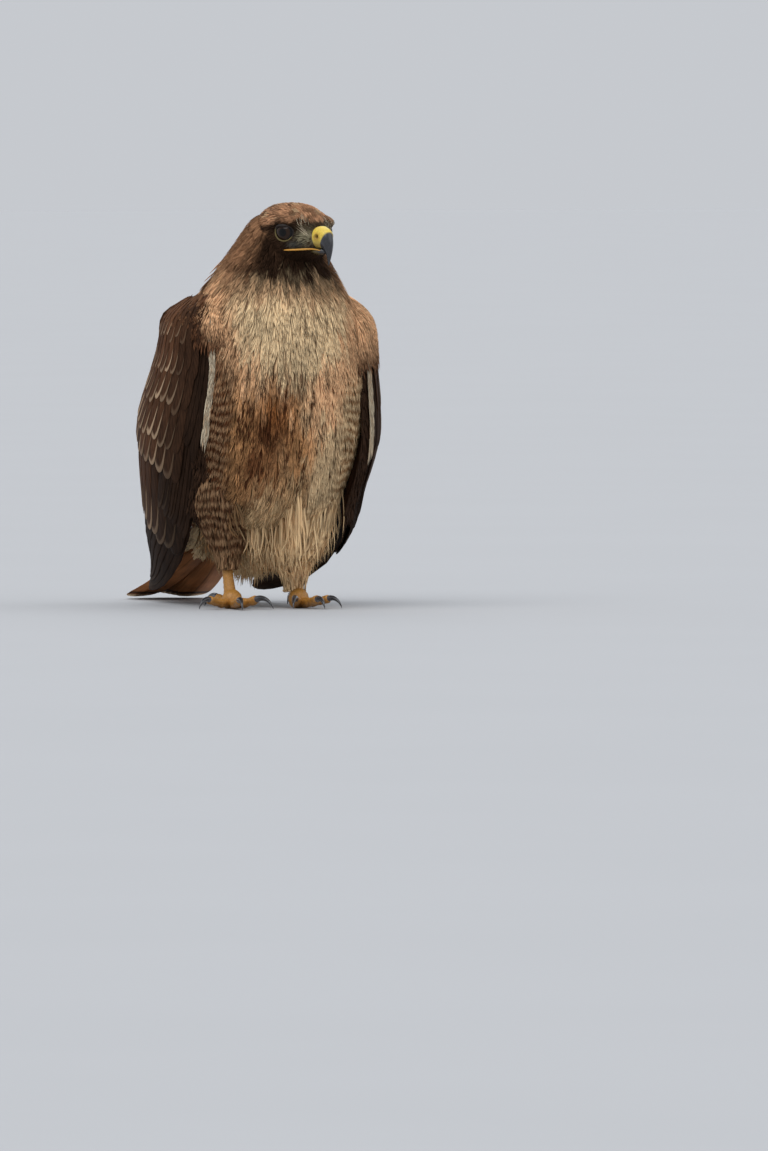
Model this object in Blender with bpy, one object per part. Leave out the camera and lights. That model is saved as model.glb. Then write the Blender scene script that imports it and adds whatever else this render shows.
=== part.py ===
"""A red-tailed hawk at life size, standing upright on a flat floor as a still museum model.

Z is up, the bird faces -Y and its left side is +X. The floor is z = 0.
Shape tables are in millimetres, as (forward, up) of the bird's middle plane, and are
scaled by MM. Everything else is in metres.
"""

import math

import bmesh
import bpy
import numpy as np
from mathutils import Vector

MM = 0.001

# The origin is the middle of the box round the bird, on the floor. The feet stand this
# far in front of it, and the bird's middle plane this far to its left.
FEET_FORWARD_OF_ORIGIN = 0.0859
MIDDLE_PLANE_X = -0.0026

# Space kept between nodes that touch.
GAP = 0.00032

# The trunk, from the root of the tail up to the head: the (forward, up) of the front
# outline, that of the back outline, and the half width there.
TRUNK = [
    (-88, 60, -104, 94, 29),
    (-46, 58, -105, 120, 50),
    (4, 65, -100, 144, 68),
    (50, 95, -91, 170, 77),
    (74, 138, -79, 200, 81),
    (83, 186, -68, 230, 81),
    (84, 226, -54, 259, 76),
    (80, 256, -40, 281, 68),
    (74, 278, -26, 300, 57),
    (68, 294, -14, 317, 47),
    (65, 306, -3, 332, 38),
    (62, 318, 8, 344, 31),
    (58, 330, 20, 351, 23),
]
TRUNK_BOXINESS = 2.25
TRUNK_AROUND = 26
NECK_FROM = 7.0
TORSO_RINGS, NECK_RINGS = 13, 9

# The fringe of the belly: station, number and spread in degrees of each row's roots, how
# high the lower row's tips hang at a few distances from the middle, and how far they
# hang back from their roots.
FRINGE_ROWS = [(2.7, 9, 44), (3.2, 10, 47), (3.7, 8, 42)]
FRINGE_SIDES = [-60, -34, -20, 0, 20, 40, 62]
FRINGE_LOW = [56, 50, 38, 28, 18, 20, 40]
FRINGE_TUCK = 0.014
FRINGE_DEPTH = 5.5 * MM
FRINGE_OVER_FOOT = 0.021
FRINGE_CLEAR_OF_LEG = 0.013
LOCK_THICKNESS = np.array([1.6, 2.3, 2.1, 1.3]) * MM

# The head, in its own frame: forward, half width, top and bottom, each from the middle
# of the skull at the height of the eyes.
HEAD = [
    (-40, 12, 10, -10),
    (-36, 21, 19, -20),
    (-26, 27, 25, -27),
    (-12, 30, 26.5, -29),
    (3, 28.8, 26, -28),
    (14, 24.8, 22.5, -25.5),
    (24.5, 17.4, 15.6, -20.8),
    (35, 8.9, 6.2, -15.2),
]
HEAD_AT = Vector((0.0085, 0.050, 0.330))
HEAD_TURN = math.radians(13)
# The middle of an eyeball, how far forward it looks, and its lids: how wide their ring
# is, how far out it lies, and how much lower it is than wide.
EYE_AT = (9.4, 16.5, 1.6)
EYE_RADIUS = 11.2 * MM
EYE_TURN = math.radians(27)
LID_RADIUS = 1.25 * MM
LID_RING_RADIUS = 8.7 * MM
LID_OUT = 7.8 * MM
LID_HEIGHT = 0.86
# The shallow dish that an eye lies in: the ball that scoops it, and how far out that is.
DISH_RADIUS = 24 * MM
DISH_OUT = 30.9 * MM
# The ridge of the brow and the lip of the gape, as (forward, sideways, up).
BROW = [(-18, 24, 6.0), (-2, 25.0, 8.4), (12, 25.8, 9.0), (22, 20.6, 7.8), (31, 10.5, 3.6)]
BROW_RADII = np.array([1.2, 2.2, 3.0, 3.4, 3.2, 2.7, 1.6]) * MM
LIP = [(13, 24.0, -14.4), (19, 21.0, -14.2), (26, 15.8, -13.8), (33.0, 9.6, -13.5)]
LIP_RADII = np.array([0.8, 1.3, 1.3, 1.2, 0.9]) * MM

# The bill, in the head's frame: (forward, up) of the ridge, that of the cutting edge,
# and the half width.
CERE = [
    (35.4, 6.4, 35.4, -13.1, 8.5),
    (39.6, 6.5, 37.6, -13.1, 7.8),
    (44.2, 4.9, 39.6, -13.1, 6.8),
]
HOOK = [
    (44.7, 4.5, 40.1, -13.2, 6.6),
    (47.6, 1.6, 42.1, -13.7, 5.9),
    (49.8, -3.6, 44.2, -15.4, 4.8),
    (50.9, -10.4, 45.6, -18.0, 3.5),
    (50.4, -18.6, 46.2, -21.8, 2.0),
    (47.7, -27.6, 47.1, -28.0, 0.4),
]
LOWER_BILL = [
    (35.4, -14.3, 35.4, -18.6, 6.6),
    (38.6, -14.2, 38.2, -18.6, 5.6),
    (41.2, -14.5, 40.8, -17.8, 4.2),
    (43.2, -15.4, 43.0, -17.2, 2.2),
]
NOSTRIL_AT = (39.4, 7.2, -2.6)
NOSTRIL_RADIUS = 1.35 * MM

# The folded wing. Each row is a stage along its leading edge, from the wrist to the tip:
# (forward, up) of that edge, its distance from the middle plane, the radius of the arc
# that the wing makes round the body there, how many degrees it turns before and after
# its widest place, and how steeply the section rises towards the back.
WING = [
    (25, 280, 59, 40, 45, 66, -6),
    (42, 252, 74, 59, 46, 80, 4),
    (46, 209, 75, 72, 47, 84, 10),
    (31, 143, 78, 87, 47, 77, 20),
    (5, 90, 72, 93, 47, 70, 34),
    (-38, 46, 62, 85, 47, 60, 45),
    (-96, 17, 58, 78, 34, 46, 50),
    (-180, 8, 52, 50, 4, 34, 60),
]
# How far the left wing hangs further forward and further out than the right one.
LEFT_WING_MORE = [(0, 0), (2, 1), (4, 1), (12, 3), (20, 2), (24, 15), (22, 12), (16, 4)]
PAD_DEPTH = [16, 24, 22, 16, 9, 4]
PAD_SINK = [1.0, 1.6, 3.0, 5.5, 8.5, 10.5]
PAD_END = 0.58

# The tail: its root on the trunk, and the tip laid on the floor behind.
TAIL_ROOT_AT = (-96, 77)
TAIL_LENGTH = 0.192
TAIL_DROP_START = math.radians(33)
TAIL_DROP_END = math.radians(11)
TAIL_FEATHERS_A_SIDE = 6

# Legs and feet.
FOOT_SIDE = {-1: -0.034, 1: 0.029}
ANKLE_AT = (-0.023, 0.086)
FOOT_TOP = 0.0185
TARSUS_TOP = 0.054
THIGH_LOW = {-1: 45, 1: 25}
THIGH_RINGS, THIGH_AROUND = 8, 14
THIGH_LOCKS = 7
THIGH_LOCK_DEPTH = 5 * MM
# Each toe's length, its thickness and the length of its claw along the curve.
TOES = {"outer": (36, 4.2, 19), "middle": (46, 4.5, 22), "inner": (31, 4.6, 25), "hind": (26, 4.8, 28)}
TOE_SPREAD = {
    -1: {"outer": 56, "middle": 13, "inner": -24, "hind": 172},
    1: {"outer": 27, "middle": 0, "inner": -27, "hind": 170},
}
TOE_END_RISE = 4.4
CLAW_TURN = math.radians(88)
CLAW_TIP_HEIGHT = 1.1 * MM

SIDES = {"right": -1, "left": 1}


def world(side_way, forward, up):
    """Places points given as (sideways, forward, up) from between the feet."""
    x = MIDDLE_PLANE_X + np.asarray(side_way, float)
    y = -FEET_FORWARD_OF_ORIGIN - np.asarray(forward, float)
    return np.stack(np.broadcast_arrays(x, y, up), axis=-1)


def through(keys, at):
    """Reads a smooth curve through evenly spaced keys (Catmull-Rom) at each position."""
    keys = np.asarray(keys, float)
    if keys.ndim == 1:
        keys = keys[:, None]
    padded = np.concatenate([2 * keys[:1] - keys[1:2], keys, 2 * keys[-1:] - keys[-2:-1]])
    at = np.clip(np.atleast_1d(at).astype(float), 0, len(keys) - 1)
    low = np.minimum(at.astype(int), len(keys) - 2)
    t = (at - low)[:, None]
    a, b, c, d = (padded[low + k] for k in range(4))
    return 0.5 * (2 * b + (c - a) * t + (2 * a - 5 * b + 4 * c - d) * t**2
                  + (3 * b - a - 3 * c + d) * t**3)


def along(keys, share):
    """The same curve read by its share of the whole, from 0 to 1, as one number each."""
    return through(keys, np.asarray(share, float).ravel() * (len(keys) - 1))[:, 0]


def paint(name, colour, roughness=0.7):
    """A plain material for one sort of surface."""
    material = bpy.data.materials.get(name)
    if material is None:
        material = bpy.data.materials.new(name)
        material.use_nodes = True
        shader = material.node_tree.nodes["Principled BSDF"]
        shader.inputs["Base Color"].default_value = (*colour, 1)
        shader.inputs["Roughness"].default_value = roughness
    return material


BROWN = ("brown_plumage", (0.13, 0.075, 0.045))
DARK = ("dark_flight_feathers", (0.05, 0.035, 0.028))
BUFF = ("buff_plumage", (0.50, 0.34, 0.20))
RUFOUS = ("rufous_tail", (0.36, 0.15, 0.06))
YELLOW = ("yellow_skin", (0.72, 0.45, 0.07), 0.5)
HORN = ("black_horn", (0.04, 0.04, 0.045), 0.3)
AMBER = ("brown_eye", (0.10, 0.05, 0.02), 0.1)


def solid(name, points, faces, colour):
    """An object from closed triangles, turned to face outwards."""
    points = np.asarray(points, float)
    faces = np.asarray(faces, int)
    a, b, c = (points[faces[:, k]] for k in range(3))
    if np.einsum("ij,ij->i", a, np.cross(b, c)).sum() < 0:
        faces = faces[:, ::-1]
    mesh = bpy.data.meshes.new(name)
    mesh.from_pydata(points.tolist(), [], faces.tolist())
    mesh.materials.append(paint(*colour))
    made = bpy.data.objects.new(name, mesh)
    bpy.context.scene.collection.objects.link(made)
    return made


def loft(name, rings, colour):
    """A closed skin over rings of points, split alike all along, with a fan on each end."""
    rings = np.asarray(rings, float)
    count, around = rings.shape[:2]
    points = np.concatenate([rings.reshape(-1, 3), rings[:1].mean(1), rings[-1:].mean(1)])
    i = np.arange(around)
    j = (i + 1) % around
    faces = []
    for k in range(count - 1):
        low, high = k * around, (k + 1) * around
        faces += np.stack([low + i, low + j, high + j], 1).tolist()
        faces += np.stack([low + i, high + j, high + i], 1).tolist()
    last = (count - 1) * around
    faces += np.stack([j, i, np.full(around, len(points) - 2)], 1).tolist()
    faces += np.stack([last + i, last + j, np.full(around, len(points) - 1)], 1).tolist()
    return solid(name, points, faces, colour)


def evaluated_mesh(obj):
    graph = bpy.context.evaluated_depsgraph_get()
    return bpy.data.meshes.new_from_object(obj.evaluated_get(graph))


def apply_modifiers(obj):
    mesh = evaluated_mesh(obj)
    obj.modifiers.clear()
    obj.data = mesh


def keep_largest(obj):
    """Leaves only the largest closed surface, so that the node stays one body."""
    shape = bmesh.new()
    shape.from_mesh(obj.data)
    bmesh.ops.triangulate(shape, faces=shape.faces)
    waiting, bodies = set(shape.faces), []
    while waiting:
        body, edge = [], [waiting.pop()]
        while edge:
            face = edge.pop()
            body.append(face)
            for line in face.edges:
                for other in line.link_faces:
                    if other in waiting:
                        waiting.remove(other)
                        edge.append(other)
        bodies.append(body)
    bodies.sort(key=lambda body: -abs(sum(
        f.verts[0].co.dot(f.verts[1].co.cross(f.verts[2].co)) for f in body)))
    for body in bodies[1:]:
        bmesh.ops.delete(shape, geom=body, context="FACES")
    loose = [v for v in shape.verts if not v.link_faces]
    bmesh.ops.delete(shape, geom=loose, context="VERTS")
    shape.to_mesh(obj.data)
    shape.free()


def fuse(base, pieces, solver="EXACT"):
    """Joins pieces to the base with one union, and removes them."""
    group = bpy.data.collections.new(base.name + "_pieces")
    for piece in pieces:
        group.objects.link(piece)
    union = base.modifiers.new("join", "BOOLEAN")
    union.operation = "UNION"
    union.solver = solver
    union.operand_type = "COLLECTION"
    union.collection = group
    apply_modifiers(base)
    for piece in pieces:
        bpy.data.objects.remove(piece)
    bpy.data.collections.remove(group)
    keep_largest(base)
    return base


def carve(obj, cutter, remove=True, solver="EXACT"):
    """Cuts one closed shape out of another, and removes the cutter."""
    cut = obj.modifiers.new("carve", "BOOLEAN")
    cut.operation = "DIFFERENCE"
    cut.solver = solver
    cut.object = cutter
    apply_modifiers(obj)
    if remove:
        bpy.data.objects.remove(cutter)
    keep_largest(obj)
    return obj


def grown(obj, by=GAP * 1.2):
    """A copy of a solid with its surface moved out, to cut others clear of it."""
    copy = obj.copy()
    copy.data = obj.data.copy()
    copy.name = obj.name + "_grown"
    bpy.context.scene.collection.objects.link(copy)
    shape = bmesh.new()
    shape.from_mesh(copy.data)
    bmesh.ops.recalc_face_normals(shape, faces=shape.faces)
    shape.normal_update()
    moves = [v.normal * by for v in shape.verts]
    for vert, move in zip(shape.verts, moves):
        vert.co += move
    shape.to_mesh(copy.data)
    shape.free()
    return copy


def floor_slab():
    """What lies under the floor, to cut flats under the feet and the tail."""
    bpy.ops.mesh.primitive_cube_add(size=1, location=(0, 0, -0.05))
    slab = bpy.context.object
    slab.name = "floor_slab"
    slab.scale = (1, 1, 0.1)
    bpy.ops.object.transform_apply(location=True, scale=True)
    return slab


def rounded(angles, power):
    """Cosine and sine on a unit circle pushed out towards a square."""
    c, s = np.cos(angles), np.sin(angles)
    reach = (np.abs(c) ** power + np.abs(s) ** power) ** (-1 / power)
    return c * reach, s * reach


def trunk_rings(stations, around=TRUNK_AROUND, more=0.0):
    """Rings of the trunk: each spans from the front outline to the back one."""
    rows = through(TRUNK, stations) * MM
    front, back, half = rows[:, 0:2], rows[:, 2:4], rows[:, 4] + more
    middle, reach = (front + back) / 2, (front - back) / 2
    length = np.linalg.norm(reach, axis=1, keepdims=True)
    reach = reach * (1 + more / length)
    angles = 2 * math.pi * np.arange(around) / around
    c, s = rounded(angles, TRUNK_BOXINESS)
    flat = middle[:, None, :] + reach[:, None, :] * c[None, :, None]
    return world(half[:, None] * s[None, :], flat[..., 0], flat[..., 1])


def station_step(station):
    """How many metres the trunk's middle moves for one station there."""
    ends = through(TRUNK, [station - 0.05, station + 0.05]) * MM
    middle = (ends[:, 0:2] + ends[:, 2:4]) / 2
    return np.linalg.norm(middle[1] - middle[0]) / 0.1


def trunk_point(station, angle, depth=0.0):
    """A point that deep under the trunk's surface; angle 0 is its front."""
    rows = through(TRUNK, [station])[0] * MM
    front, back = rows[0:2], rows[2:4]
    middle, reach = (front + back) / 2, (front - back) / 2
    c, s = rounded(np.array([angle]), TRUNK_BOXINESS)
    length = np.linalg.norm(reach)
    flat = middle + reach * c[0] * (1 - depth / length)
    return world((rows[4] - depth) * s[0], flat[0], flat[1])


def lock(name, root, tip, out, half, bend=0.12, more=0.0):
    """A flat tapered lock of long feathers from a sunk root to its tip.

    out is the way its flat side faces; it bows that way by a share of its length. It can
    be made larger all round, to cut others clear of it.
    """
    root, tip, out = (np.asarray(v, float) for v in (root, tip, out))
    s = np.array([0, 0.35, 0.72, 1.0])[:, None]
    length = np.linalg.norm(tip - root)
    way = (tip - root) / length
    root, tip = root - way * more, tip + way * more
    out = out - way * out.dot(way)
    out /= np.linalg.norm(out)
    middle = root + (tip - root) * s + out * bend * length * np.sin(s * math.pi) * (1 - 0.3 * s)
    run = np.gradient(middle, axis=0)
    run /= np.linalg.norm(run, axis=1, keepdims=True)
    side = np.cross(run, np.broadcast_to(out, run.shape))
    side /= np.linalg.norm(side, axis=1, keepdims=True)
    normal = np.cross(side, run)
    width = np.array([0.4, 1.0, 0.85, 0.14])
    return vane(name, middle, side, normal, half * width + more, LOCK_THICKNESS + 2 * more, BUFF)


def trunk_with_fringe(name, end, more=0.0):
    """The trunk, with the shaggy fringe of long feathers that hangs from the belly."""
    trunk = loft(name, trunk_rings(np.linspace(0, end, TORSO_RINGS), more=more), BUFF)
    draw = np.random.default_rng(4)
    locks = []
    for row, (station, count, spread) in enumerate(FRINGE_ROWS):
        for i in range(count):
            degrees = -spread + 2 * spread * (i + 0.5 * (row % 2)) / (count - 1)
            height, lean, wide = draw.uniform(-1, 1, 3)
            start = station + 0.16 * height
            skin = trunk_point(start, math.radians(degrees))
            root = trunk_point(start, math.radians(degrees), FRINGE_DEPTH)
            side_way = root[0] - MIDDLE_PLANE_X
            low = np.interp(side_way / MM, FRINGE_SIDES, FRINGE_LOW) + 11 * row + 4 * lean
            ahead = -root[1] - FEET_FORWARD_OF_ORIGIN - FRINGE_TUCK * (1 + 0.3 * row)
            if abs(side_way - FOOT_SIDE[1]) < FRINGE_OVER_FOOT:
                ahead = max(ahead, FRINGE_CLEAR_OF_LEG)
            tip = world(side_way * 0.93 + 3 * lean * MM, ahead, low * MM)
            locks.append(lock(f"fringe_{row}_{i}", root, tip, skin - root, (8.2 + 1.2 * wide) * MM,
                              bend=0.03, more=more))
    return fuse(trunk, locks)


def trunk_cutter():
    """The torso and the neck as one shape, a little larger, to cut others clear of both."""
    stations = np.concatenate([np.linspace(0, NECK_FROM, TORSO_RINGS)[:-1],
                               np.linspace(NECK_FROM, 12, NECK_RINGS)])
    return loft("trunk_cutter", trunk_rings(stations, more=GAP * 1.5), BROWN)


def head_world(forward, side_way, up):
    """Places points of the head's own frame, in metres, with its turn."""
    forward, side_way, up = np.broadcast_arrays(forward, side_way, up)
    c, s = math.cos(HEAD_TURN), math.sin(HEAD_TURN)
    return world(HEAD_AT.x + side_way * c + forward * s,
                 HEAD_AT.y + forward * c - side_way * s, HEAD_AT.z + up)


def head_rings(around):
    stations = np.linspace(0, len(HEAD) - 1, 13)
    rows = through(HEAD, stations) * MM
    angles = 2 * math.pi * np.arange(around) / around
    c, s = rounded(angles, 2.2)
    top, bottom = rows[:, 2:3], rows[:, 3:4]
    up = (top + bottom) / 2 + (top - bottom) / 2 * c
    return head_world(rows[:, 0:1] + 0 * c, rows[:, 1:2] * s, up)


def profile_rings(rows, around, power=2.0, per_row=1):
    """Rings of the bill, each from its ridge down to its cutting edge."""
    rows = through(rows, np.linspace(0, len(rows) - 1, per_row * (len(rows) - 1) + 1)) * MM
    ridge, edge, half = rows[:, 0:2], rows[:, 2:4], rows[:, 4:5]
    angles = 2 * math.pi * (np.arange(around) + 0.5) / around
    c, s = rounded(angles, power)
    flat = ((ridge + edge) / 2)[:, None] + ((ridge - edge) / 2)[:, None] * c[None, :, None]
    return head_world(flat[..., 0], half * s, flat[..., 1])


def ball(name, centre, radius, colour, segments=16, rings=10):
    bpy.ops.mesh.primitive_uv_sphere_add(segments=segments, ring_count=rings, radius=radius,
                                         location=centre)
    made = bpy.context.object
    made.name = name
    bpy.ops.object.transform_apply(location=True)
    made.data.materials.append(paint(*colour))
    return made


def rod(name, path, radii, colour, around=8, flatten=1.0):
    """A round or oval bar along a path of points, with a radius at each."""
    path = np.asarray(path, float)
    ways = np.gradient(path, axis=0)
    ways /= np.linalg.norm(ways, axis=1, keepdims=True)
    upright = np.where(np.abs(ways[:, 2:3]) > 0.9, [[0.0, 1.0, 0.0]], [[0.0, 0.0, 1.0]])
    side = np.cross(ways, upright)
    side /= np.linalg.norm(side, axis=1, keepdims=True)
    over = np.cross(side, ways)
    angles = 2 * math.pi * (np.arange(around) + 0.5) / around
    radii = np.broadcast_to(np.asarray(radii, float), len(path))[:, None, None]
    rings = path[:, None] + radii * (side[:, None] * np.cos(angles)[None, :, None]
                                     + flatten * over[:, None] * np.sin(angles)[None, :, None])
    return loft(name, rings, colour)


def head_path(points):
    """A path through points of the head's frame given in millimetres."""
    rows = np.asarray(points, float) * MM
    return head_world(rows[:, 0], rows[:, 1], rows[:, 2])


def eye_axes(sign):
    """An eye's middle, the way that it looks, and the ways ahead and up across that."""
    centre = np.array(EYE_AT) * (1, sign, 1)
    looks = np.array([math.sin(EYE_TURN), sign * math.cos(EYE_TURN), -0.05])
    centre, beyond = head_path([centre, centre + looks])
    out = (beyond - centre) / np.linalg.norm(beyond - centre)
    up = np.array([0, 0, 1.0]) - out * out[2]
    up /= np.linalg.norm(up)
    return centre, out, np.cross(up, out), up


def lid_rings(sign):
    """Rings round the lip of skin that frames an eye: an ellipse, lower than wide."""
    centre, out, ahead, up = eye_axes(sign)
    rim_centre = centre + out * LID_OUT
    rings = []
    for a in np.linspace(0, 2 * math.pi, 17)[:-1]:
        spoke = LID_RING_RADIUS * (math.cos(a) * ahead + LID_HEIGHT * math.sin(a) * up)
        away = spoke / np.linalg.norm(spoke)
        turns = np.linspace(0, 2 * math.pi, 7)[:-1]
        rings.append([rim_centre + spoke + LID_RADIUS * (math.cos(t) * away + math.sin(t) * out)
                      for t in turns])
    return rings


def make_head():
    """The skull with its brows, lids and lips, with dishes and sockets for the eyes."""
    head = loft("head", head_rings(24), BROWN)
    for sign in SIDES.values():
        centre, out, _, _ = eye_axes(sign)
        carve(head, ball("dish", centre + out * DISH_OUT, DISH_RADIUS, BROWN, 40, 24))
    pieces = []
    for side, sign in SIDES.items():
        brow = through(BROW, np.linspace(0, 4, 7)) * (1, sign, 1)
        pieces.append(rod("brow_" + side, head_path(brow), BROW_RADII, BROWN, 7, 0.85))
        lip = through(LIP, np.linspace(0, 3, 5)) * (1, sign, 1)
        pieces.append(rod("lip_" + side, head_path(lip), LIP_RADII, YELLOW, 6))
        pieces.append(hoop("lid_" + side, lid_rings(sign), BROWN))
    fuse(head, pieces)
    for sign in SIDES.values():
        centre = eye_axes(sign)[0]
        carve(head, ball("socket", centre, EYE_RADIUS + GAP, BROWN, 20, 12))
    return head


def hoop(name, rings, colour):
    """A closed ring-shaped tube over rings of points."""
    rings = np.asarray(rings, float)
    count, around = rings.shape[:2]
    faces = []
    for k in range(count):
        for i in range(around):
            j = (i + 1) % around
            low, high = k * around, ((k + 1) % count) * around
            faces += [(low + i, low + j, high + j), (low + i, high + j, high + i)]
    return solid(name, rings.reshape(-1, 3), faces, colour)


def make_eyes():
    for side, sign in SIDES.items():
        ball("eye_" + side, eye_axes(sign)[0], EYE_RADIUS, AMBER, 18, 11)


def make_bill():
    cere = loft("cere", profile_rings(CERE, 14, 2.3, 2), YELLOW)
    loft("bill_upper", profile_rings(HOOK, 14, 2.1, 2), HORN)
    loft("bill_lower", profile_rings(LOWER_BILL, 10, 2.0, 1), HORN)
    for side, sign in SIDES.items():
        inner = np.array(NOSTRIL_AT) * (1, sign * 0.55, 1)
        outer = np.array(NOSTRIL_AT) * (1, sign * 1.6, 1)
        carve(cere, rod("nostril", head_path([inner, outer]), NOSTRIL_RADIUS, HORN, 8))


def make_neck(head):
    neck = loft("neck", trunk_rings(np.linspace(NECK_FROM, 12, NECK_RINGS)), BROWN)
    return carve(neck, grown(head))


def wing_table(sign):
    """The wing's stages for one side, closely spaced, with the share of the edge's length."""
    keys = np.array(WING, float)
    if sign > 0:
        keys[:, 0] += np.array(LEFT_WING_MORE)[:, 0]
        keys[:, 2] += np.array(LEFT_WING_MORE)[:, 1]
    rows = through(keys, np.linspace(0, len(keys) - 1, 281))
    steps = np.linalg.norm(np.diff(rows[:, 0:2], axis=0), axis=1)
    length = np.concatenate([[0], np.cumsum(steps)])
    return length / length[-1], rows


WING_TABLES = {sign: wing_table(sign) for sign in (-1, 1)}


def wing_point(sign, share, across, lift=0.0):
    """A point of the folded wing's outer surface, or that far above it.

    share runs from the wrist to the tip along the leading edge, across from that edge
    to the back edge. Each cross-section is an arc that wraps in over the back.
    """
    share, across, lift = (np.asarray(v, float) for v in np.broadcast_arrays(share, across, lift))
    grid, rows = WING_TABLES[sign]
    read = lambda column: np.interp(share, grid, column)
    radius, before, after = read(rows[:, 3]) * MM, np.radians(read(rows[:, 4])), np.radians(read(rows[:, 5]))
    angle = -before + (before + after) * across
    back = radius * (np.sin(angle) + np.sin(before)) + lift * np.sin(angle)
    out = radius * (np.cos(angle) - np.cos(before)) + lift * np.cos(angle)
    side_way = read(rows[:, 2]) * MM + out
    rise = np.radians(read(rows[:, 6]))
    forward = read(rows[:, 0]) * MM - np.cos(rise) * back
    up = read(rows[:, 1]) * MM + np.sin(rise) * back
    return world(sign * side_way, forward, up)


def blade(name, rings, colour):
    """A thin closed shape whose rings hold the same number of points above and below.

    Both faces are split into triangles alike, so that a bend can't make them cross.
    """
    rings = np.asarray(rings, float)
    count, around = rings.shape[:2]
    half = around // 2
    under = lambda i: around - 1 - i
    faces = []
    for k in range(count - 1):
        a, b = k * around, (k + 1) * around
        for i in range(half - 1):
            j = i + 1
            faces += [(a + i, a + j, b + j), (a + i, b + j, b + i)]
            faces += [(a + under(i), b + under(j), a + under(j)), (a + under(i), b + under(i), b + under(j))]
        for i, j in ((half - 1, half), (around - 1, 0)):
            faces += [(a + i, a + j, b + j), (a + i, b + j, b + i)]
    last = (count - 1) * around
    for i in range(half - 1):
        j = i + 1
        faces += [(i, under(i), under(j)), (i, under(j), j)]
        faces += [(last + i, last + under(j), last + under(i)), (last + i, last + j, last + under(j))]
    return solid(name, rings.reshape(-1, 3), faces, colour)


def vane(name, middle, side, normal, half, thick, colour, rib=0.0):
    """One feather along a line of points: side and normal are unit vectors across and out.

    half is its half width and thick its thickness there. With a rib, its middle stands
    proud by that share of the half width.
    """
    h, t = half[:, None], thick[:, None] / 2
    left, right = middle - side * h, middle + side * h
    if rib:
        raised = middle + normal * h * rib
        rows = [left + normal * t, raised + normal * t, right + normal * t,
                right - normal * t, raised - normal * t, left - normal * t]
    else:
        rows = [left + normal * t, right + normal * t, right - normal * t, left - normal * t]
    return blade(name, np.stack(rows, 1), colour)


def blade_profile(steps, root, widest, tip):
    """Shares along a feather, and its half width there as a share of the widest."""
    s = np.linspace(0, 1, steps) ** 0.85
    rise = root + (1 - root) * np.sin(np.clip(s / widest, 0, 1) * math.pi / 2)
    fall = np.clip((s - widest) / (1 - widest), 0, 1)
    return s, rise * (1 - (1 - tip) * fall**2.4)


def feather_row(name, sign, count, root, tip, half, lift, colour, steps=6, thick=0.9, tilt_most=0.42):
    """A row of like feathers laid on the folded wing.

    root and tip hold the (share, across) of the first and the last feather. Each one
    lies over the next like a shingle: it tilts just enough to clear its neighbour.
    """
    s, width = blade_profile(steps, 0.5, 0.5, 0.25)
    numbers = np.linspace(0, 1, count)[:, None]
    draw = np.random.default_rng(len(name) + sign)
    longer, aside = draw.uniform(-0.012, 0.012, (count, 1)), draw.uniform(-0.006, 0.006, (count, 1))
    mix = lambda ends, axis: ends[0][axis] + (ends[1][axis] - ends[0][axis]) * numbers
    share = mix(root, 0) + (mix(tip, 0) + longer - mix(root, 0)) * s
    across = mix(root, 1) + (mix(tip, 1) + aside - mix(root, 1)) * s
    sunk = np.clip(1 - s / 0.22, 0, 1)
    height = (lift - 5.0 * sunk) * MM * np.ones_like(share)
    middle = wing_point(sign, share, across, height)
    spacing = np.linalg.norm(np.gradient(middle, axis=0), axis=-1)
    nudge = 1e-3
    side = wing_point(sign, share, across + nudge, height) - middle
    way = wing_point(sign, share + nudge, across, height) - middle
    side /= np.linalg.norm(side, axis=-1, keepdims=True)
    way /= np.linalg.norm(way, axis=-1, keepdims=True)
    normal = np.cross(side, way)
    outer = wing_point(sign, share, across, height + nudge) - middle
    normal *= np.sign(np.einsum("ijk,ijk->ij", normal, outer))[..., None]
    normal /= np.linalg.norm(normal, axis=-1, keepdims=True)
    tilt = np.minimum((thick + 0.5) * MM / spacing, tilt_most)[..., None]
    leaned = side - normal * tilt
    leaned /= np.linalg.norm(leaned, axis=-1, keepdims=True)
    raised = normal + side * tilt
    raised /= np.linalg.norm(raised, axis=-1, keepdims=True)
    made = []
    for i in range(count):
        wide = half[0] + (half[1] - half[0]) * numbers[i, 0]
        made.append(vane(f"{name}_{i}", middle[i], leaned[i], raised[i], wide * MM * width,
                         thick * MM * (1 - 0.35 * s), colour))
    return made


def wing_pad(name, sign):
    """The arm under the coverts: a tapering pad just inside the wing's surface."""
    shares = np.array([0.0, 0.02, 0.06, 0.13, 0.22, 0.32, 0.42, 0.5, PAD_END])
    fullness = np.array([0.45, 0.8, 1.0, 1.0, 1.0, 1.0, 1.0, 1.0, 0.7])
    rings = []
    for share, full in zip(shares, fullness):
        deep = along(PAD_DEPTH, share / PAD_END)[0] * MM
        sink = along(PAD_SINK, share / PAD_END)[0] * MM
        widest = 0.97 - 0.30 * (share / PAD_END) ** 2
        acrosses = 0.5 * widest + (np.linspace(0.03, widest, 9) - 0.5 * widest) * (0.55 + 0.45 * full)
        rim = np.sin(math.pi * np.linspace(0.03, 0.97, 9)) ** 0.5
        outer = wing_point(sign, share, acrosses, -sink - (1 - full * rim) * 0.35 * deep)
        inner = wing_point(sign, share, acrosses, -sink - 0.35 * deep - (0.9 * MM + 0.65 * deep * rim) * full)
        rings.append(np.concatenate([outer, inner[::-1]]))
    return loft(name, np.array(rings), BROWN)


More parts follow.
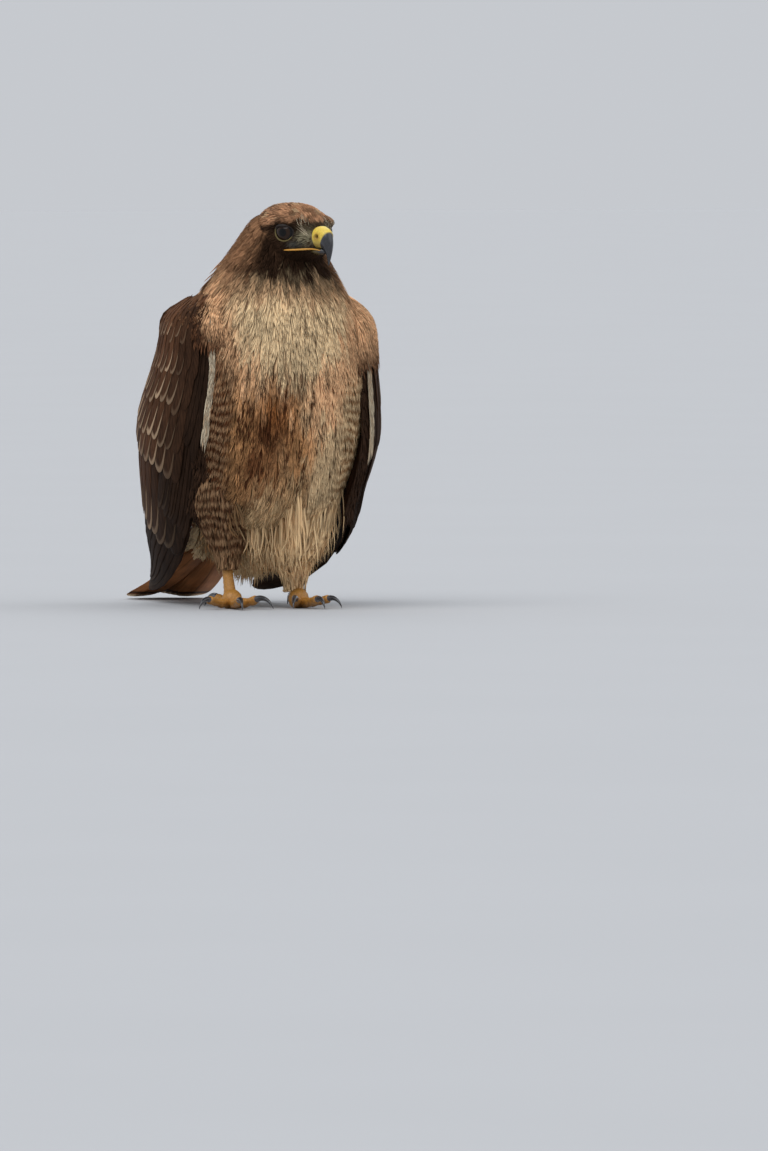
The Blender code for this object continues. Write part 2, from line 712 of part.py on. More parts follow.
def make_wing(side, sign, cutters):
    wing = wing_pad("wing_" + side, sign)
    pieces = []
    pieces += feather_row("primary", sign, 7, ((0.46, 0.06), (0.44, 0.42)), ((0.99, 0.20), (0.86, 0.92)),
                          (10, 12), -9.0, DARK, steps=5)
    pieces += feather_row("secondary", sign, 7, ((0.32, 0.07), (0.26, 0.80)), ((0.66, 0.08), (0.70, 0.96)),
                          (12, 16), -5.6, DARK, steps=5)
    pieces += feather_row("greater_covert", sign, 7, ((0.17, 0.08), (0.14, 0.82)), ((0.45, 0.07), (0.45, 0.93)),
                          (12, 15), -2.2, BROWN, steps=4)
    pieces += feather_row("median_covert", sign, 7, ((0.07, 0.10), (0.05, 0.80)), ((0.25, 0.08), (0.27, 0.90)),
                          (10, 13), 0.8, BROWN, steps=4)
    pieces += feather_row("scapular", sign, 5, ((0.10, 0.66), (0.04, 0.90)), ((0.38, 0.80), (0.47, 1.02)),
                          (11, 10), 3.6, BROWN, steps=4)
    # The many thin vanes of a wing are more than the exact solver can join.
    fuse(wing, pieces, solver="MANIFOLD")
    for cutter in cutters:
        carve(wing, cutter, remove=False, solver="MANIFOLD")


def tail_line(share):
    """(forward, up) along the middle of the tail's upper face, in metres."""
    steps = 200
    grid = (np.arange(steps) + 0.5) / steps
    drop = TAIL_DROP_START + (TAIL_DROP_END - TAIL_DROP_START) * grid
    forward = np.concatenate([[0], np.cumsum(-np.cos(drop))]) * TAIL_LENGTH / steps
    up = np.concatenate([[0], np.cumsum(-np.sin(drop))]) * TAIL_LENGTH / steps
    places = np.linspace(0, 1, steps + 1)
    return (TAIL_ROOT_AT[0] * MM + np.interp(share, places, forward),
            TAIL_ROOT_AT[1] * MM + np.interp(share, places, up))


def make_tail():
    """The cone of coverts behind the trunk and the twelve tail feathers."""
    end = through(TRUNK, [0.0])[0] * MM
    reach = np.array([(end[0] - end[2]) / 2, (end[1] - end[3]) / 2])
    length = np.linalg.norm(reach)
    rings = []
    angles = 2 * math.pi * np.arange(20) / 20
    c, s = rounded(angles, TRUNK_BOXINESS)
    for share, high, half in ((0.0018, length, end[4]), (0.10, 13 * MM, 27 * MM), (0.22, 8 * MM, 24 * MM),
                              (0.36, 4.5 * MM, 21 * MM), (0.46, 1.6 * MM, 14 * MM)):
        forward, up = tail_line(share)
        rings.append(world(half * s, forward + reach[0] / length * high * c, up + reach[1] / length * high * c))
    tail = loft("tail", rings, RUFOUS)
    vanes = []
    s, width = blade_profile(6, 0.35, 0.75, 0.55)
    for side, sign in SIDES.items():
        for i in range(TAIL_FEATHERS_A_SIDE):
            share = 0.06 + (1.0 - 0.012 * i - 0.06) * s
            forward, up = tail_line(share)
            splay = (2.6 + 4.6 * i) * MM * (0.25 + 0.75 * s)
            depth = (1.35 * i + 0.65 * (sign > 0)) * MM
            middle = world(sign * splay, forward, up - depth)
            across = np.tile([1.0, 0, 0], (len(s), 1))
            way = np.gradient(middle, axis=0)
            normal = np.cross(across, way)
            normal /= np.linalg.norm(normal, axis=1, keepdims=True)
            normal *= np.sign(normal[:, 2:3])
            vanes.append(vane(f"rectrix_{side}_{i}", middle, across, normal, 17 * MM * width,
                              0.95 * MM * (1 - 0.35 * s), RUFOUS))
    fuse(tail, vanes)
    return tail


def toe_path(foot_x, yaw, length, steps=6):
    """A toe from the middle of the foot out along the floor, rising to the claw."""
    s = np.linspace(0, 1, steps)
    reach = length * s
    up = (4.7 + TOE_END_RISE * s**3) * MM
    return world(foot_x + math.sin(yaw) * reach, math.cos(yaw) * reach, up), s


def make_foot(side, sign):
    """The sole and four toes, with flats on the floor, and the claws."""
    x = FOOT_SIDE[sign]
    spread = TOE_SPREAD[sign]
    foot = ball("foot_" + side, world(x, 0, 0.0072), 0.0088, YELLOW, 14, 8)
    pieces = []
    for name, (length, thick, claw) in TOES.items():
        yaw = math.radians(spread[name]) * sign
        path, s = toe_path(x, yaw, length * MM)
        radii = (thick + 0.35 * np.cos(s * 4.5 * math.pi)) * MM * (1 - 0.22 * s)
        pieces.append(rod(f"toe_{side}_{name}", path, radii, YELLOW, 8))
        make_claw(f"claw_{side}_{name}", path, radii[-1], yaw, claw * MM)
    shin, radius = shin_path(x, sign, 0.006, FOOT_TOP)
    pieces.append(rod("instep_" + side, shin, radius, YELLOW, 12))
    fuse(foot, pieces)
    carve(foot, floor_slab())


def make_claw(name, toe, thick, yaw, length):
    """A claw that leaves the end of its toe the same way and curves down to the floor."""
    steps = 6
    s = np.linspace(0, 1, steps)
    run = (toe[-1] - toe[-2]) / np.linalg.norm(toe[-1] - toe[-2])
    pitch = math.asin(run[2]) - CLAW_TURN * (s[1:] + s[:-1]) / 2
    way = np.array([math.sin(yaw), -math.cos(yaw), 0])
    moves = (np.cos(pitch)[:, None] * way + np.sin(pitch)[:, None] * [0, 0, 1]) * length / (steps - 1)
    path = np.concatenate([[[0, 0, 0]], np.cumsum(moves, axis=0)]) + toe[-1] + run * GAP * 1.6
    path[:, 2] += s**1.6 * (CLAW_TIP_HEIGHT - path[-1, 2])
    radii = thick * (0.84 - 0.70 * s**1.1)
    return rod(name, path, radii, HORN, 7)


def shin_path(x, sign, low, high, steps=2):
    """The bare shank between two heights, as points and its radius there."""
    up = np.linspace(low, high, steps)
    t = up / ANKLE_AT[1]
    forward = ANKLE_AT[0] * t
    path = world(x + sign * 0.002 * t, forward, up)
    radius = (4.7 + 1.9 * np.clip(1 - up / 0.026, 0, 1) ** 1.3 + 1.2 * np.clip(t - 0.7, 0, 1)) * MM
    return path, radius


def make_tarsus(side, sign):
    x = FOOT_SIDE[sign]
    scutes = 7
    path, radius = shin_path(x, sign, FOOT_TOP + GAP * 1.1, TARSUS_TOP, 2 * scutes)
    radius = radius + 0.35 * MM * (np.arange(2 * scutes) % 2)
    rod("tarsus_" + side, path, radius, YELLOW, 10, 1.08)


def thigh_with_locks(name, sign, more=0.0):
    """The feathered thigh, from inside the flank down over the top of the bare shank."""
    x = FOOT_SIDE[sign]
    low = THIGH_LOW[sign]
    keys = [
        (0, -10, low, 8.5),
        (1, -10, low + 12, 15),
        (4, -8, low + 28, 21),
        (8, -3, 88, 27),
        (9, 4, 112, 30),
        (6, 8, 138, 28),
    ]
    rows = through(keys, np.linspace(0, len(keys) - 1, THIGH_RINGS))
    path = world(x + sign * rows[:, 0] * MM, rows[:, 1] * MM, rows[:, 2] * MM)
    path[0, 2] -= more
    angles = 2 * math.pi * np.arange(THIGH_AROUND) / THIGH_AROUND
    circle = np.stack([np.cos(angles), 1.12 * np.sin(angles), 0 * angles], -1)
    thigh = loft(name, [p + (r * MM + more) * circle for p, r in zip(path, rows[:, 3])], BUFF)
    locks = []
    for i in range(THIGH_LOCKS):
        around = 2 * math.pi * (i + 0.5) / THIGH_LOCKS
        way = np.array([math.cos(around), math.sin(around), 0])
        side_way, forward, up, radius = through(keys, [3.0 - 1.0 * (i % 2)])[0] * MM
        root = world(x + sign * side_way, forward, up) + way * (radius - THIGH_LOCK_DEPTH)
        tip = world(x, -0.010, (low - 5 + 3 * math.sin(2.6 * i)) * MM) + way * 11.5 * MM
        locks.append(lock(f"{name}_lock_{i}", root, tip, way, 8.4 * MM, bend=0.13, more=more))
    return fuse(thigh, locks)


def make_thigh(side, sign, torso_cutter):
    thigh = thigh_with_locks("thigh_" + side, sign)
    shin, radius = shin_path(FOOT_SIDE[sign], sign, 0.0, TARSUS_TOP + 0.004, 12)
    carve(thigh, rod("shin_hole", shin, radius + 1.4 * MM, BUFF, 12))
    carve(thigh, torso_cutter, remove=False)


def clear_scene():
    for obj in list(bpy.data.objects):
        bpy.data.objects.remove(obj)


def main():
    clear_scene()
    trunk_with_fringe("torso", NECK_FROM - GAP / station_step(NECK_FROM))
    head = make_head()
    make_neck(head)
    make_eyes()
    make_bill()
    trunk = trunk_cutter()
    torso_cutter = trunk_with_fringe("torso_cutter", NECK_FROM, more=GAP * 1.5)
    for side, sign in SIDES.items():
        thigh_cutter = thigh_with_locks("thigh_cutter", sign, more=GAP * 1.5)
        make_wing(side, sign, (trunk, thigh_cutter))
        bpy.data.objects.remove(thigh_cutter)
        make_thigh(side, sign, torso_cutter)
        make_tarsus(side, sign)
        make_foot(side, sign)
    bpy.data.objects.remove(trunk)
    bpy.data.objects.remove(torso_cutter)
    tail = make_tail()
    carve(tail, floor_slab())
    collection = bpy.data.collections.new("red_tailed_hawk")
    bpy.context.scene.collection.children.link(collection)
    for obj in list(bpy.context.scene.collection.objects):
        bpy.context.scene.collection.objects.unlink(obj)
        collection.objects.link(obj)


main()
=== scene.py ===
"""Dresses a packed red-tailed hawk with its skin, feathers, bill, eyes and feet, and sets the stage.

Z is up, the bird faces -Y and its left side is +X. The floor is z = 0. Shape tables are in
millimetres, as (forward, up) of the bird's middle plane, and are scaled by MM. Everything
else is in metres. The tables that place the forms are those of the solids.

Every surface is a function of two parameters, u along a form and v round it, with a lift
off it. Feathers are thin closed blades whose middle lines run over such a surface.
"""

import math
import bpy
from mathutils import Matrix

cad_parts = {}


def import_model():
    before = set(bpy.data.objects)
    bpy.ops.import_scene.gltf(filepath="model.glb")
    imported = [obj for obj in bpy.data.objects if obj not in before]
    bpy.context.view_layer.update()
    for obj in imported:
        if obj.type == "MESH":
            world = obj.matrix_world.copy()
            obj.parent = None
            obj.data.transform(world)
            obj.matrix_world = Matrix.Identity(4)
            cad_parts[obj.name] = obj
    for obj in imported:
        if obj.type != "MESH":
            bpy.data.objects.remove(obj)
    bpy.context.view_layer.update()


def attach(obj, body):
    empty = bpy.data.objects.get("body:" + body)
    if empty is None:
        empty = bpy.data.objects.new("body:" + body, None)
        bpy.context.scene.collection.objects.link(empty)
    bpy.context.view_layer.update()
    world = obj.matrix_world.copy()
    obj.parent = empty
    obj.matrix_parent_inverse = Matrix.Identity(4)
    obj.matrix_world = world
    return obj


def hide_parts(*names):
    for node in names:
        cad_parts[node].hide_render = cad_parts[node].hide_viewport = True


bl_info = {
    "name": "Red-tailed hawk",
    "version": (1, 0, 0),
    "blender": (4, 5, 0),
    "location": "3D Viewport > Sidebar > Hawk",
    "description": "Skin, feathers, bill, eyes and feet over the solids of a standing hawk",
    "category": "Object",
}

import bpy
import numpy as np
from mathutils import Vector

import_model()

MM = 0.001
FEET_FORWARD = 0.0859
MIDDLE_X = -0.0026
SIDES = {"right": -1, "left": 1}

# The trunk from the root of the tail to the head: front outline, back outline, half width.
TRUNK = [
    (-88, 60, -104, 94, 29),
    (-46, 58, -105, 120, 50),
    (4, 65, -100, 144, 68),
    (50, 95, -91, 170, 77),
    (74, 138, -79, 200, 81),
    (83, 186, -68, 230, 81),
    (84, 226, -54, 259, 76),
    (80, 256, -40, 281, 68),
    (74, 278, -26, 300, 57),
    (68, 294, -14, 317, 47),
    (65, 306, -3, 332, 38),
    (62, 318, 8, 344, 31),
    (58, 330, 20, 351, 23),
]
TRUNK_END = 12.0

# The head: forward, half width, top and bottom from the middle of the skull.
HEAD = [
    (-40, 12, 10, -10),
    (-36, 21, 19, -20),
    (-26, 27, 25, -27),
    (-12, 30, 26.5, -29),
    (3, 28.8, 26, -28),
    (14, 24.8, 22.5, -25.5),
    (24.5, 17.4, 15.6, -20.8),
    (35, 8.9, 6.2, -15.2),
]
HEAD_END = 7.0
HEAD_AT = (0.0085, 0.050, 0.330)
HEAD_TURN = math.radians(13)
BROW = [(-18, 24, 6.0), (-2, 25.0, 8.4), (12, 25.8, 9.0), (22, 20.6, 7.8), (31, 10.5, 3.6)]
BROW_RADIUS = [1.0, 2.6, 3.4, 3.1, 1.6]
EYE_AT = (9.4, 16.5, 1.6)
EYE_TURN = math.radians(27)
DISH = (2.4, 9.0, 6.4, 8.4)
LIP = [(13, 24.0, -14.4), (19, 21.0, -14.2), (26, 15.8, -13.8), (33.0, 9.8, -13.4), (38.5, 8.4, -13.6),
       (43.0, 6.2, -14.6)]

# The bill: (forward, up) of the ridge, that of the cutting edge, and the half width.
CERE = [
    (33.4, 6, 33.4, -13, 8.8),
    (36.4, 6.6, 35.2, -13.1, 8.5),
    (39.8, 6.4, 37.6, -13.1, 7.8),
    (45.6, 3.9, 39.2, -13.1, 6.75),
    (48.5, 1.3, 40.4, -12.8, 6.1),
]
HOOK = [
    (43.2, 4.4, 38.6, -13.0, 6.5),
    (47.2, 2.2, 41.6, -13.6, 6.0),
    (49.8, -3.6, 44.2, -15.4, 4.8),
    (50.9, -10.4, 45.6, -18.0, 3.5),
    (50.4, -18.6, 46.2, -21.8, 2.0),
    (47.7, -27.6, 47.1, -28.0, 0.3),
]
LOWER_BILL = [
    (26.0, -12.8, 26.0, -17.4, 6.4),
    (33.4, -12.4, 33.4, -18.4, 7.2),
    (38.6, -12.4, 38.2, -18.6, 5.8),
    (41.4, -12.9, 41.0, -17.8, 4.3),
    (43.6, -14.4, 43.4, -17.2, 2.0),
]
NOSTRIL_AT = (39.4, 7.4, -2.6)

# The folded wing from wrist to tip: (forward, up) of the leading edge, its distance from the
# middle plane, the radius of the arc across it, degrees before and after its widest place,
# and how steeply the section rises towards the back.
WING = [
    (25, 280, 59, 40, 45, 66, -6),
    (42, 252, 74, 59, 46, 80, 4),
    (46, 209, 75, 72, 47, 84, 10),
    (31, 143, 78, 87, 47, 77, 20),
    (5, 90, 72, 93, 47, 70, 34),
    (-38, 46, 62, 85, 47, 60, 45),
    (-96, 17, 58, 78, 34, 46, 50),
    (-180, 8, 52, 50, 4, 34, 60),
]
LEFT_WING_MORE = [(0, 0), (2, 1), (4, 1), (12, 3), (20, 2), (24, 15), (22, 12), (16, 4)]
PAD_DEPTH = [16, 24, 22, 16, 9, 4]
PAD_SINK = [2.6, 3.2, 4.6, 7.0, 9.4, 11.0]
PAD_END = 0.58

TAIL_ROOT = (-96, 77)
TAIL_LENGTH = 0.192
TAIL_DROP = (math.radians(33), math.radians(11))

FOOT_SIDE = {-1: -0.034, 1: 0.029}
ANKLE_AT = (-0.023, 0.086)
FOOT_TOP = 0.0185
TARSUS_TOP = 0.064
THIGH_LOW = {-1: 45, 1: 25}
TOES = {"outer": (36, 4.2, 19), "middle": (46, 4.5, 22), "inner": (31, 4.6, 25), "hind": (26, 4.8, 28)}
TOE_SPREAD = {
    -1: {"outer": 56, "middle": 13, "inner": -24, "hind": 172},
    1: {"outer": 27, "middle": 0, "inner": -27, "hind": 170},
}
CLAW_TURN = math.radians(88)

# The photograph's frame: its size in pixels, the size of one at the bird, the pixel midway
# between the feet, and how the camera stands to it.
FRAME_SIZE = (768, 1151)
PIXEL = 0.88 * MM
FEET_PIXEL = (268, 608)
CAMERA_AZIMUTH, CAMERA_RISE, CAMERA_DISTANCE = -22.0, 2.0, 12.0

# Cross-sections of a blade, as (across, up) shares of its half width and of its crown.
STRAND = np.array([(-1, 0), (0, 1), (1, 0)], float)
LEAF = np.array([(-1, 0), (-0.55, 0.7), (0, 1), (0.55, 0.7), (1, 0), (0, -0.4)], float)
FEATHER = np.array([(-1, -0.2), (-0.93, 0.3), (-0.45, 0.8), (0, 1.25), (0.45, 0.8), (0.93, 0.3),
                    (1, -0.2), (0, -0.5)], float)


# ------------------------------------------------------------------ sizes and colours

def length_of(name, description, default):
    return bpy.props.FloatProperty(name=name, description=description, default=default,
                                   min=0.0001, subtype="DISTANCE", unit="LENGTH", precision=4)


def colour_of(name, description, default):
    return bpy.props.FloatVectorProperty(name=name, description=description, default=default,
                                         size=3, min=0, max=1, subtype="COLOR")


class HawkSizes(bpy.types.PropertyGroup):
    """Sizes of the coat that can be changed without touching the solids."""
    coat_depth: length_of("Coat depth", "How far the skin lies under the coat's surface", 0.0032)
    breast_gap: length_of("Breast gap", "Distance between the roots of tufts on the body", 0.0020)
    breast_tuft: length_of("Breast tuft", "Length of a tuft on the breast", 0.0165)
    head_gap: length_of("Head gap", "Distance between the roots of tufts on the head", 0.00145)
    head_tuft: length_of("Head tuft", "Length of a tuft on the crown", 0.0066)
    mantle_feather: length_of("Mantle feather", "Length of a feather on the back", 0.0240)
    eye_radius: length_of("Eye radius", "Radius of an eyeball", 0.0112)
    barb_gap: bpy.props.FloatProperty(name="Barb count", description="Streaks across one feather",
                                      default=9.0, min=1.0)


class HawkColours(bpy.types.PropertyGroup):
    """Colours of the plumage and of the bare parts."""
    crown: colour_of("Crown", "Top of the head", (0.45, 0.235, 0.125))
    nape: colour_of("Nape", "Back of the neck", (0.34, 0.175, 0.088))
    face: colour_of("Face", "Cheeks and throat", (0.030, 0.015, 0.008))
    bib: colour_of("Bib", "Middle of the breast", (0.97, 0.71, 0.41))
    shoulder: colour_of("Shoulder", "Sides of the breast", (0.80, 0.47, 0.25))
    band: colour_of("Belly band", "Ground colour of the belly", (0.60, 0.30, 0.125))
    streak: colour_of("Streak", "Dark streaks of the belly", (0.075, 0.024, 0.009))
    belly: colour_of("Lower belly", "Long feathers over the legs", (0.86, 0.60, 0.325))
    # The trousers' colour is partly the thigh feathers' own dark brown and partly painted shade under the belly.
    trousers: colour_of("Trousers", "Feathers of the thighs", (0.12, 0.070, 0.033))
    covert: colour_of("Covert", "Feathers of the upper wing and the back", (0.078, 0.034, 0.0165))
    edge: colour_of("Pale edge", "Rims of the wing and back feathers", (0.52, 0.36, 0.23))
    flight: colour_of("Flight feather", "Long feathers of the wing", (0.027, 0.0135, 0.0075))
    tail: colour_of("Tail", "Upper side of the tail", (0.36, 0.145, 0.055))
    lores: colour_of("Lores", "Bare skin before the eye", (0.26, 0.23, 0.145))
    cere: colour_of("Cere", "Waxy skin at the root of the bill", (0.74, 0.53, 0.07))
    gape: colour_of("Gape", "Lips at the corner of the mouth", (0.60, 0.29, 0.04))
    legs: colour_of("Legs", "Scaly skin of the shanks and toes", (0.50, 0.235, 0.045))
    horn: colour_of("Horn", "Bill and claws", (0.022, 0.022, 0.026))
    iris: colour_of("Iris", "The eye round the pupil", (0.020, 0.009, 0.004))
    studio: colour_of("Studio", "Background", (0.565, 0.585, 0.619))
    floor: colour_of("Floor", "Floor, which comes out like the background", (0.469, 0.479, 0.495))


def sizes():
    return bpy.context.scene.hawk_sizes


def colour(name):
    return np.array(getattr(bpy.context.scene.hawk_colours, name))


# ------------------------------------------------------------------ curves and forms

def world(side_way, forward, up):
    """x = middle + sideways, y = -(feet + forward), z = up."""
    parts = np.broadcast_arrays(MIDDLE_X + side_way, -FEET_FORWARD - forward, up)
    return np.stack(parts, axis=-1)


def through(keys, at):
    """A Catmull-Rom cubic through evenly spaced keys, read at each position."""
    keys = np.asarray(keys, float)
    keys = keys[:, None] if keys.ndim == 1 else keys
    padded = np.concatenate([2 * keys[:1] - keys[1:2], keys, 2 * keys[-1:] - keys[-2:-1]])
    at = np.clip(np.asarray(at, float), 0, len(keys) - 1)
    low = np.minimum(at.astype(int), len(keys) - 2)
    t = (at - low)[..., None]
    a, b, c, d = (padded[low + k] for k in range(4))
    return 0.5 * (2 * b + (c - a) * t + (2 * a - 5 * b + 4 * c - d) * t**2
                  + (3 * b - a - 3 * c + d) * t**3)


def unit(v):
    return v / np.maximum(np.linalg.norm(v, axis=-1, keepdims=True), 1e-12)


def ease(x, low, high):
    """0 below low and 1 above high, with the cubic 3t^2 - 2t^3 between."""
    t = np.clip((x - low) / (high - low), 0, 1)
    return t * t * (3 - 2 * t)


def mix(a, b, share):
    """a at share 0 and b at share 1, for colours."""
    return a + (b - a) * np.asarray(share)[..., None]


def rounded(angle, power):
    """A circle pushed out towards a square: |x|^p + |y|^p = 1."""
    c, s = np.cos(angle), np.sin(angle)
    reach = (np.abs(c) ** power + np.abs(s) ** power) ** (-1 / power)
    return c * reach, s * reach


def trunk(station, angle, lift=0.0):
    """Spans the front and back outlines with a boxy ellipse; angle 0 is the front."""
    front_f, front_u, back_f, back_u, half = np.moveaxis(through(TRUNK, station) * MM, -1, 0)
    c, s = rounded(angle, 2.25)
    reach_f, reach_u = (front_f - back_f) / 2, (front_u - back_u) / 2
    more = c * (1 + lift / np.hypot(reach_f, reach_u))
    return world((half + lift) * s, (front_f + back_f) / 2 + reach_f * more,
                 (front_u + back_u) / 2 + reach_u * more)


def head_world(forward, side_way, up):
    """Turns the head's own frame about the upright by the turn of the head."""
    c, s = math.cos(HEAD_TURN), math.sin(HEAD_TURN)
    return world(HEAD_AT[0] + side_way * c + forward * s,
                 HEAD_AT[1] + forward * c - side_way * s, HEAD_AT[2] + up)


def eye_plane(forward, side_way, up):
    """How far ahead of the eye's middle and above it a place is, in the plane it looks from."""
    at = np.array(EYE_AT) * MM
    ahead = (forward - at[0]) * math.cos(EYE_TURN) - (side_way - at[1]) * math.sin(EYE_TURN)
    return ahead, up - at[2]


def skull(row, angle):
    """The head's section at a row: forward, sideways and up in its own frame, with the brow.

    The section is a boxy ellipse. Along each of its rays the brow's rod stands out by a
    bell curve of the ray's distance from the rod, narrow below it and wide above it. The eye
    lies in a dish, an oval dent with a soft edge.
    """
    forward, half, top, bottom = np.moveaxis(through(HEAD, row) * MM, -1, 0)
    c, s = rounded(angle, 2.2)
    middle = (top + bottom) / 2
    across, over = half * s, (top - bottom) / 2 * c
    reach = np.maximum(np.hypot(across, over), 1e-6)
    ray_s, ray_u = across / reach, over / reach
    brow = through(np.column_stack([BROW, BROW_RADIUS]), np.linspace(0, 4, 33)) * MM
    brow_s, brow_u, brow_r = (np.interp(forward, brow[:, 0], brow[:, k]) for k in (1, 2, 3))
    brow_u = brow_u - middle
    along_ray = np.abs(ray_s) * brow_s + ray_u * brow_u
    aside = ray_u * brow_s - np.abs(ray_s) * brow_u
    width = brow_r * np.where(aside > 0, 2.6, 0.75)
    stands = np.maximum(along_ray + brow_r - reach, 0) * np.exp(-(aside / width) ** 2)
    stands = stands * ease(forward, -0.023, -0.012) * (1 - ease(forward, 0.030, 0.034))
    ahead, above = eye_plane(forward, np.abs(ray_s) * reach, middle + ray_u * reach)
    deep, wide, high, low = np.array(DISH) * MM
    away = np.hypot(ahead / wide, above / np.where(above > 0, high, low))
    dent = deep * np.exp(-away**6) * (np.abs(ray_s) * reach > 0.010)
    return forward, ray_s, ray_u, reach + stands - dent, middle


def head(row, angle, lift=0.0):
    """The head's surface; angle 0 is its top, and rows run from the nape to the bill."""
    forward, ray_s, ray_u, reach, middle = skull(row, angle)
    return head_world(forward, (reach + lift) * ray_s, middle + (reach + lift) * ray_u)


def wing_table(sign):
    """The wing's stages for one side, closely spaced, with the share of the edge's length."""
    keys = np.array(WING, float)
    if sign > 0:
        keys[:, [0, 2]] += np.array(LEFT_WING_MORE)
    rows = through(keys, np.linspace(0, len(keys) - 1, 281))
    length = np.concatenate([[0], np.cumsum(np.linalg.norm(np.diff(rows[:, 0:2], axis=0), axis=1))])
    return length / length[-1], rows


WING_TABLES = {sign: wing_table(sign) for sign in (-1, 1)}


def wing(sign):
    """The folded wing's outer face: an arc across it, carried along its leading edge."""
    grid, rows = WING_TABLES[sign]

    def surface(share, across, lift=0.0):
        read = lambda column: np.interp(share, grid, rows[:, column])
        before, after, rise = (np.radians(read(k)) for k in (4, 5, 6))
        radius = read(3) * MM
        angle = -before + (before + after) * across
        back = radius * (np.sin(angle) + np.sin(before)) + lift * np.sin(angle)
        out = radius * (np.cos(angle) - np.cos(before)) + lift * np.cos(angle)
        return world(sign * (read(2) * MM + out), read(0) * MM - np.cos(rise) * back,
                     read(1) * MM + np.sin(rise) * back)
    return surface


def tail_line(share):
    """(forward, up) along the tail: the running sum of steps whose slope eases off."""
    grid = (np.arange(200) + 0.5) / 200
    drop = TAIL_DROP[0] + (TAIL_DROP[1] - TAIL_DROP[0]) * grid
    places = np.linspace(0, 1, 201)
    forward = np.concatenate([[0], np.cumsum(-np.cos(drop))]) * TAIL_LENGTH / 200
    up = np.concatenate([[0], np.cumsum(-np.sin(drop))]) * TAIL_LENGTH / 200
    return (TAIL_ROOT[0] * MM + np.interp(share, places, forward),
            TAIL_ROOT[1] * MM + np.interp(share, places, up))


def tail_base(share, angle, lift=0.0):
    """The cone of the rump: an oval across the tail's line that narrows along it."""
    end = through(TRUNK, 0.0) * MM
    reach = np.array([(end[0] - end[2]) / 2, (end[1] - end[3]) / 2])
    length = np.linalg.norm(reach)
    high = np.interp(share, [0, 0.10, 0.22, 0.36, 0.46], [length, 13 * MM, 8 * MM, 4.5 * MM, 2 * MM])
    half = np.interp(share, [0, 0.10, 0.22, 0.36, 0.46], [end[4], 27 * MM, 24 * MM, 21 * MM, 14 * MM])
    forward, up = tail_line(share)
    c, s = rounded(angle, 2.25)
    return world((half + lift) * s, forward + reach[0] / length * (high + lift) * c,
                 up + reach[1] / length * (high + lift) * c)


def thigh(sign):
    """The thigh: circles along a leaning line, which run on straight below its low end."""
    low = THIGH_LOW[sign]
    keys = [(0, -10, low, 10.5), (1, -10, low + 12, 15), (4, -8, low + 28, 21), (8, -3, 88, 27),
            (9, 4, 112, 30), (6, 8, 138, 28)]

    def surface(row, angle, lift=0.0):
        side_way, forward, up, radius = np.moveaxis(through(keys, row) * MM, -1, 0)
        below = np.minimum(row, 0)
        radius = radius + lift + below * 3 * MM
        return world(FOOT_SIDE[sign] + sign * side_way + radius * np.sin(angle),
                     forward + radius * 1.12 * np.cos(angle), up + below * 14 * MM)
    return surface


def shank(sign, up):
    """(x, forward) of the bare shank's middle and its radius at a height."""
    t = up / ANKLE_AT[1]
    radius = (4.7 + 1.9 * np.clip(1 - up / 0.026, 0, 1) ** 1.3 + 1.2 * np.clip(t - 0.7, 0, 1)) * MM
    return FOOT_SIDE[sign] + sign * 0.002 * t, ANKLE_AT[0] * t, radius


# ------------------------------------------------------------------ meshes

def ring_faces(rows, around, closed=True):
    """Triangles between rings of points, with a fan on each end where it is closed."""
    i = np.arange(around)
    j = (i + 1) % around
    strip = np.concatenate([np.stack([i, j, j + around], 1), np.stack([i, j + around, i + around], 1)])
    faces = (strip[None] + around * np.arange(rows - 1)[:, None, None]).reshape(-1, 3)
    if not closed:
        return faces
    last = (rows - 1) * around
    first_fan = np.stack([j, i, np.full(around, rows * around)], 1)
    last_fan = np.stack([last + i, last + j, np.full(around, rows * around + 1)], 1)
    return np.concatenate([faces, first_fan, last_fan])


def shell(grid, tint, chance=0.5):
    """A closed skin over a grid of rings, turned to face outwards, with a colour per point."""
    rows, around = grid.shape[:2]
    points = np.concatenate([grid.reshape(-1, 3), grid[:1].mean(1), grid[-1:].mean(1)])
    tint = np.broadcast_to(tint, grid.shape).reshape(-1, 3)
    tint = np.concatenate([tint, tint[:1], tint[-1:]])
    faces = ring_faces(rows, around)
    a, b, c = (points[faces[:, k]] for k in range(3))
    if np.einsum("ij,ij->i", a - points[0], np.cross(b - points[0], c - points[0])).sum() < 0:
        faces = faces[:, ::-1]
    u, v = np.meshgrid(np.linspace(0, 1, rows), np.linspace(0, 1, around), indexing="ij")
    lie = np.concatenate([np.stack([v, u], -1).reshape(-1, 2), [[0.5, 0], [0.5, 1]]])
    count = len(points)
    return {"points": points, "faces": faces, "tint": np.column_stack([tint, np.full(count, chance)]),
            "rim": np.zeros((count, 4)), "Lie": lie, "OFBake": lie}


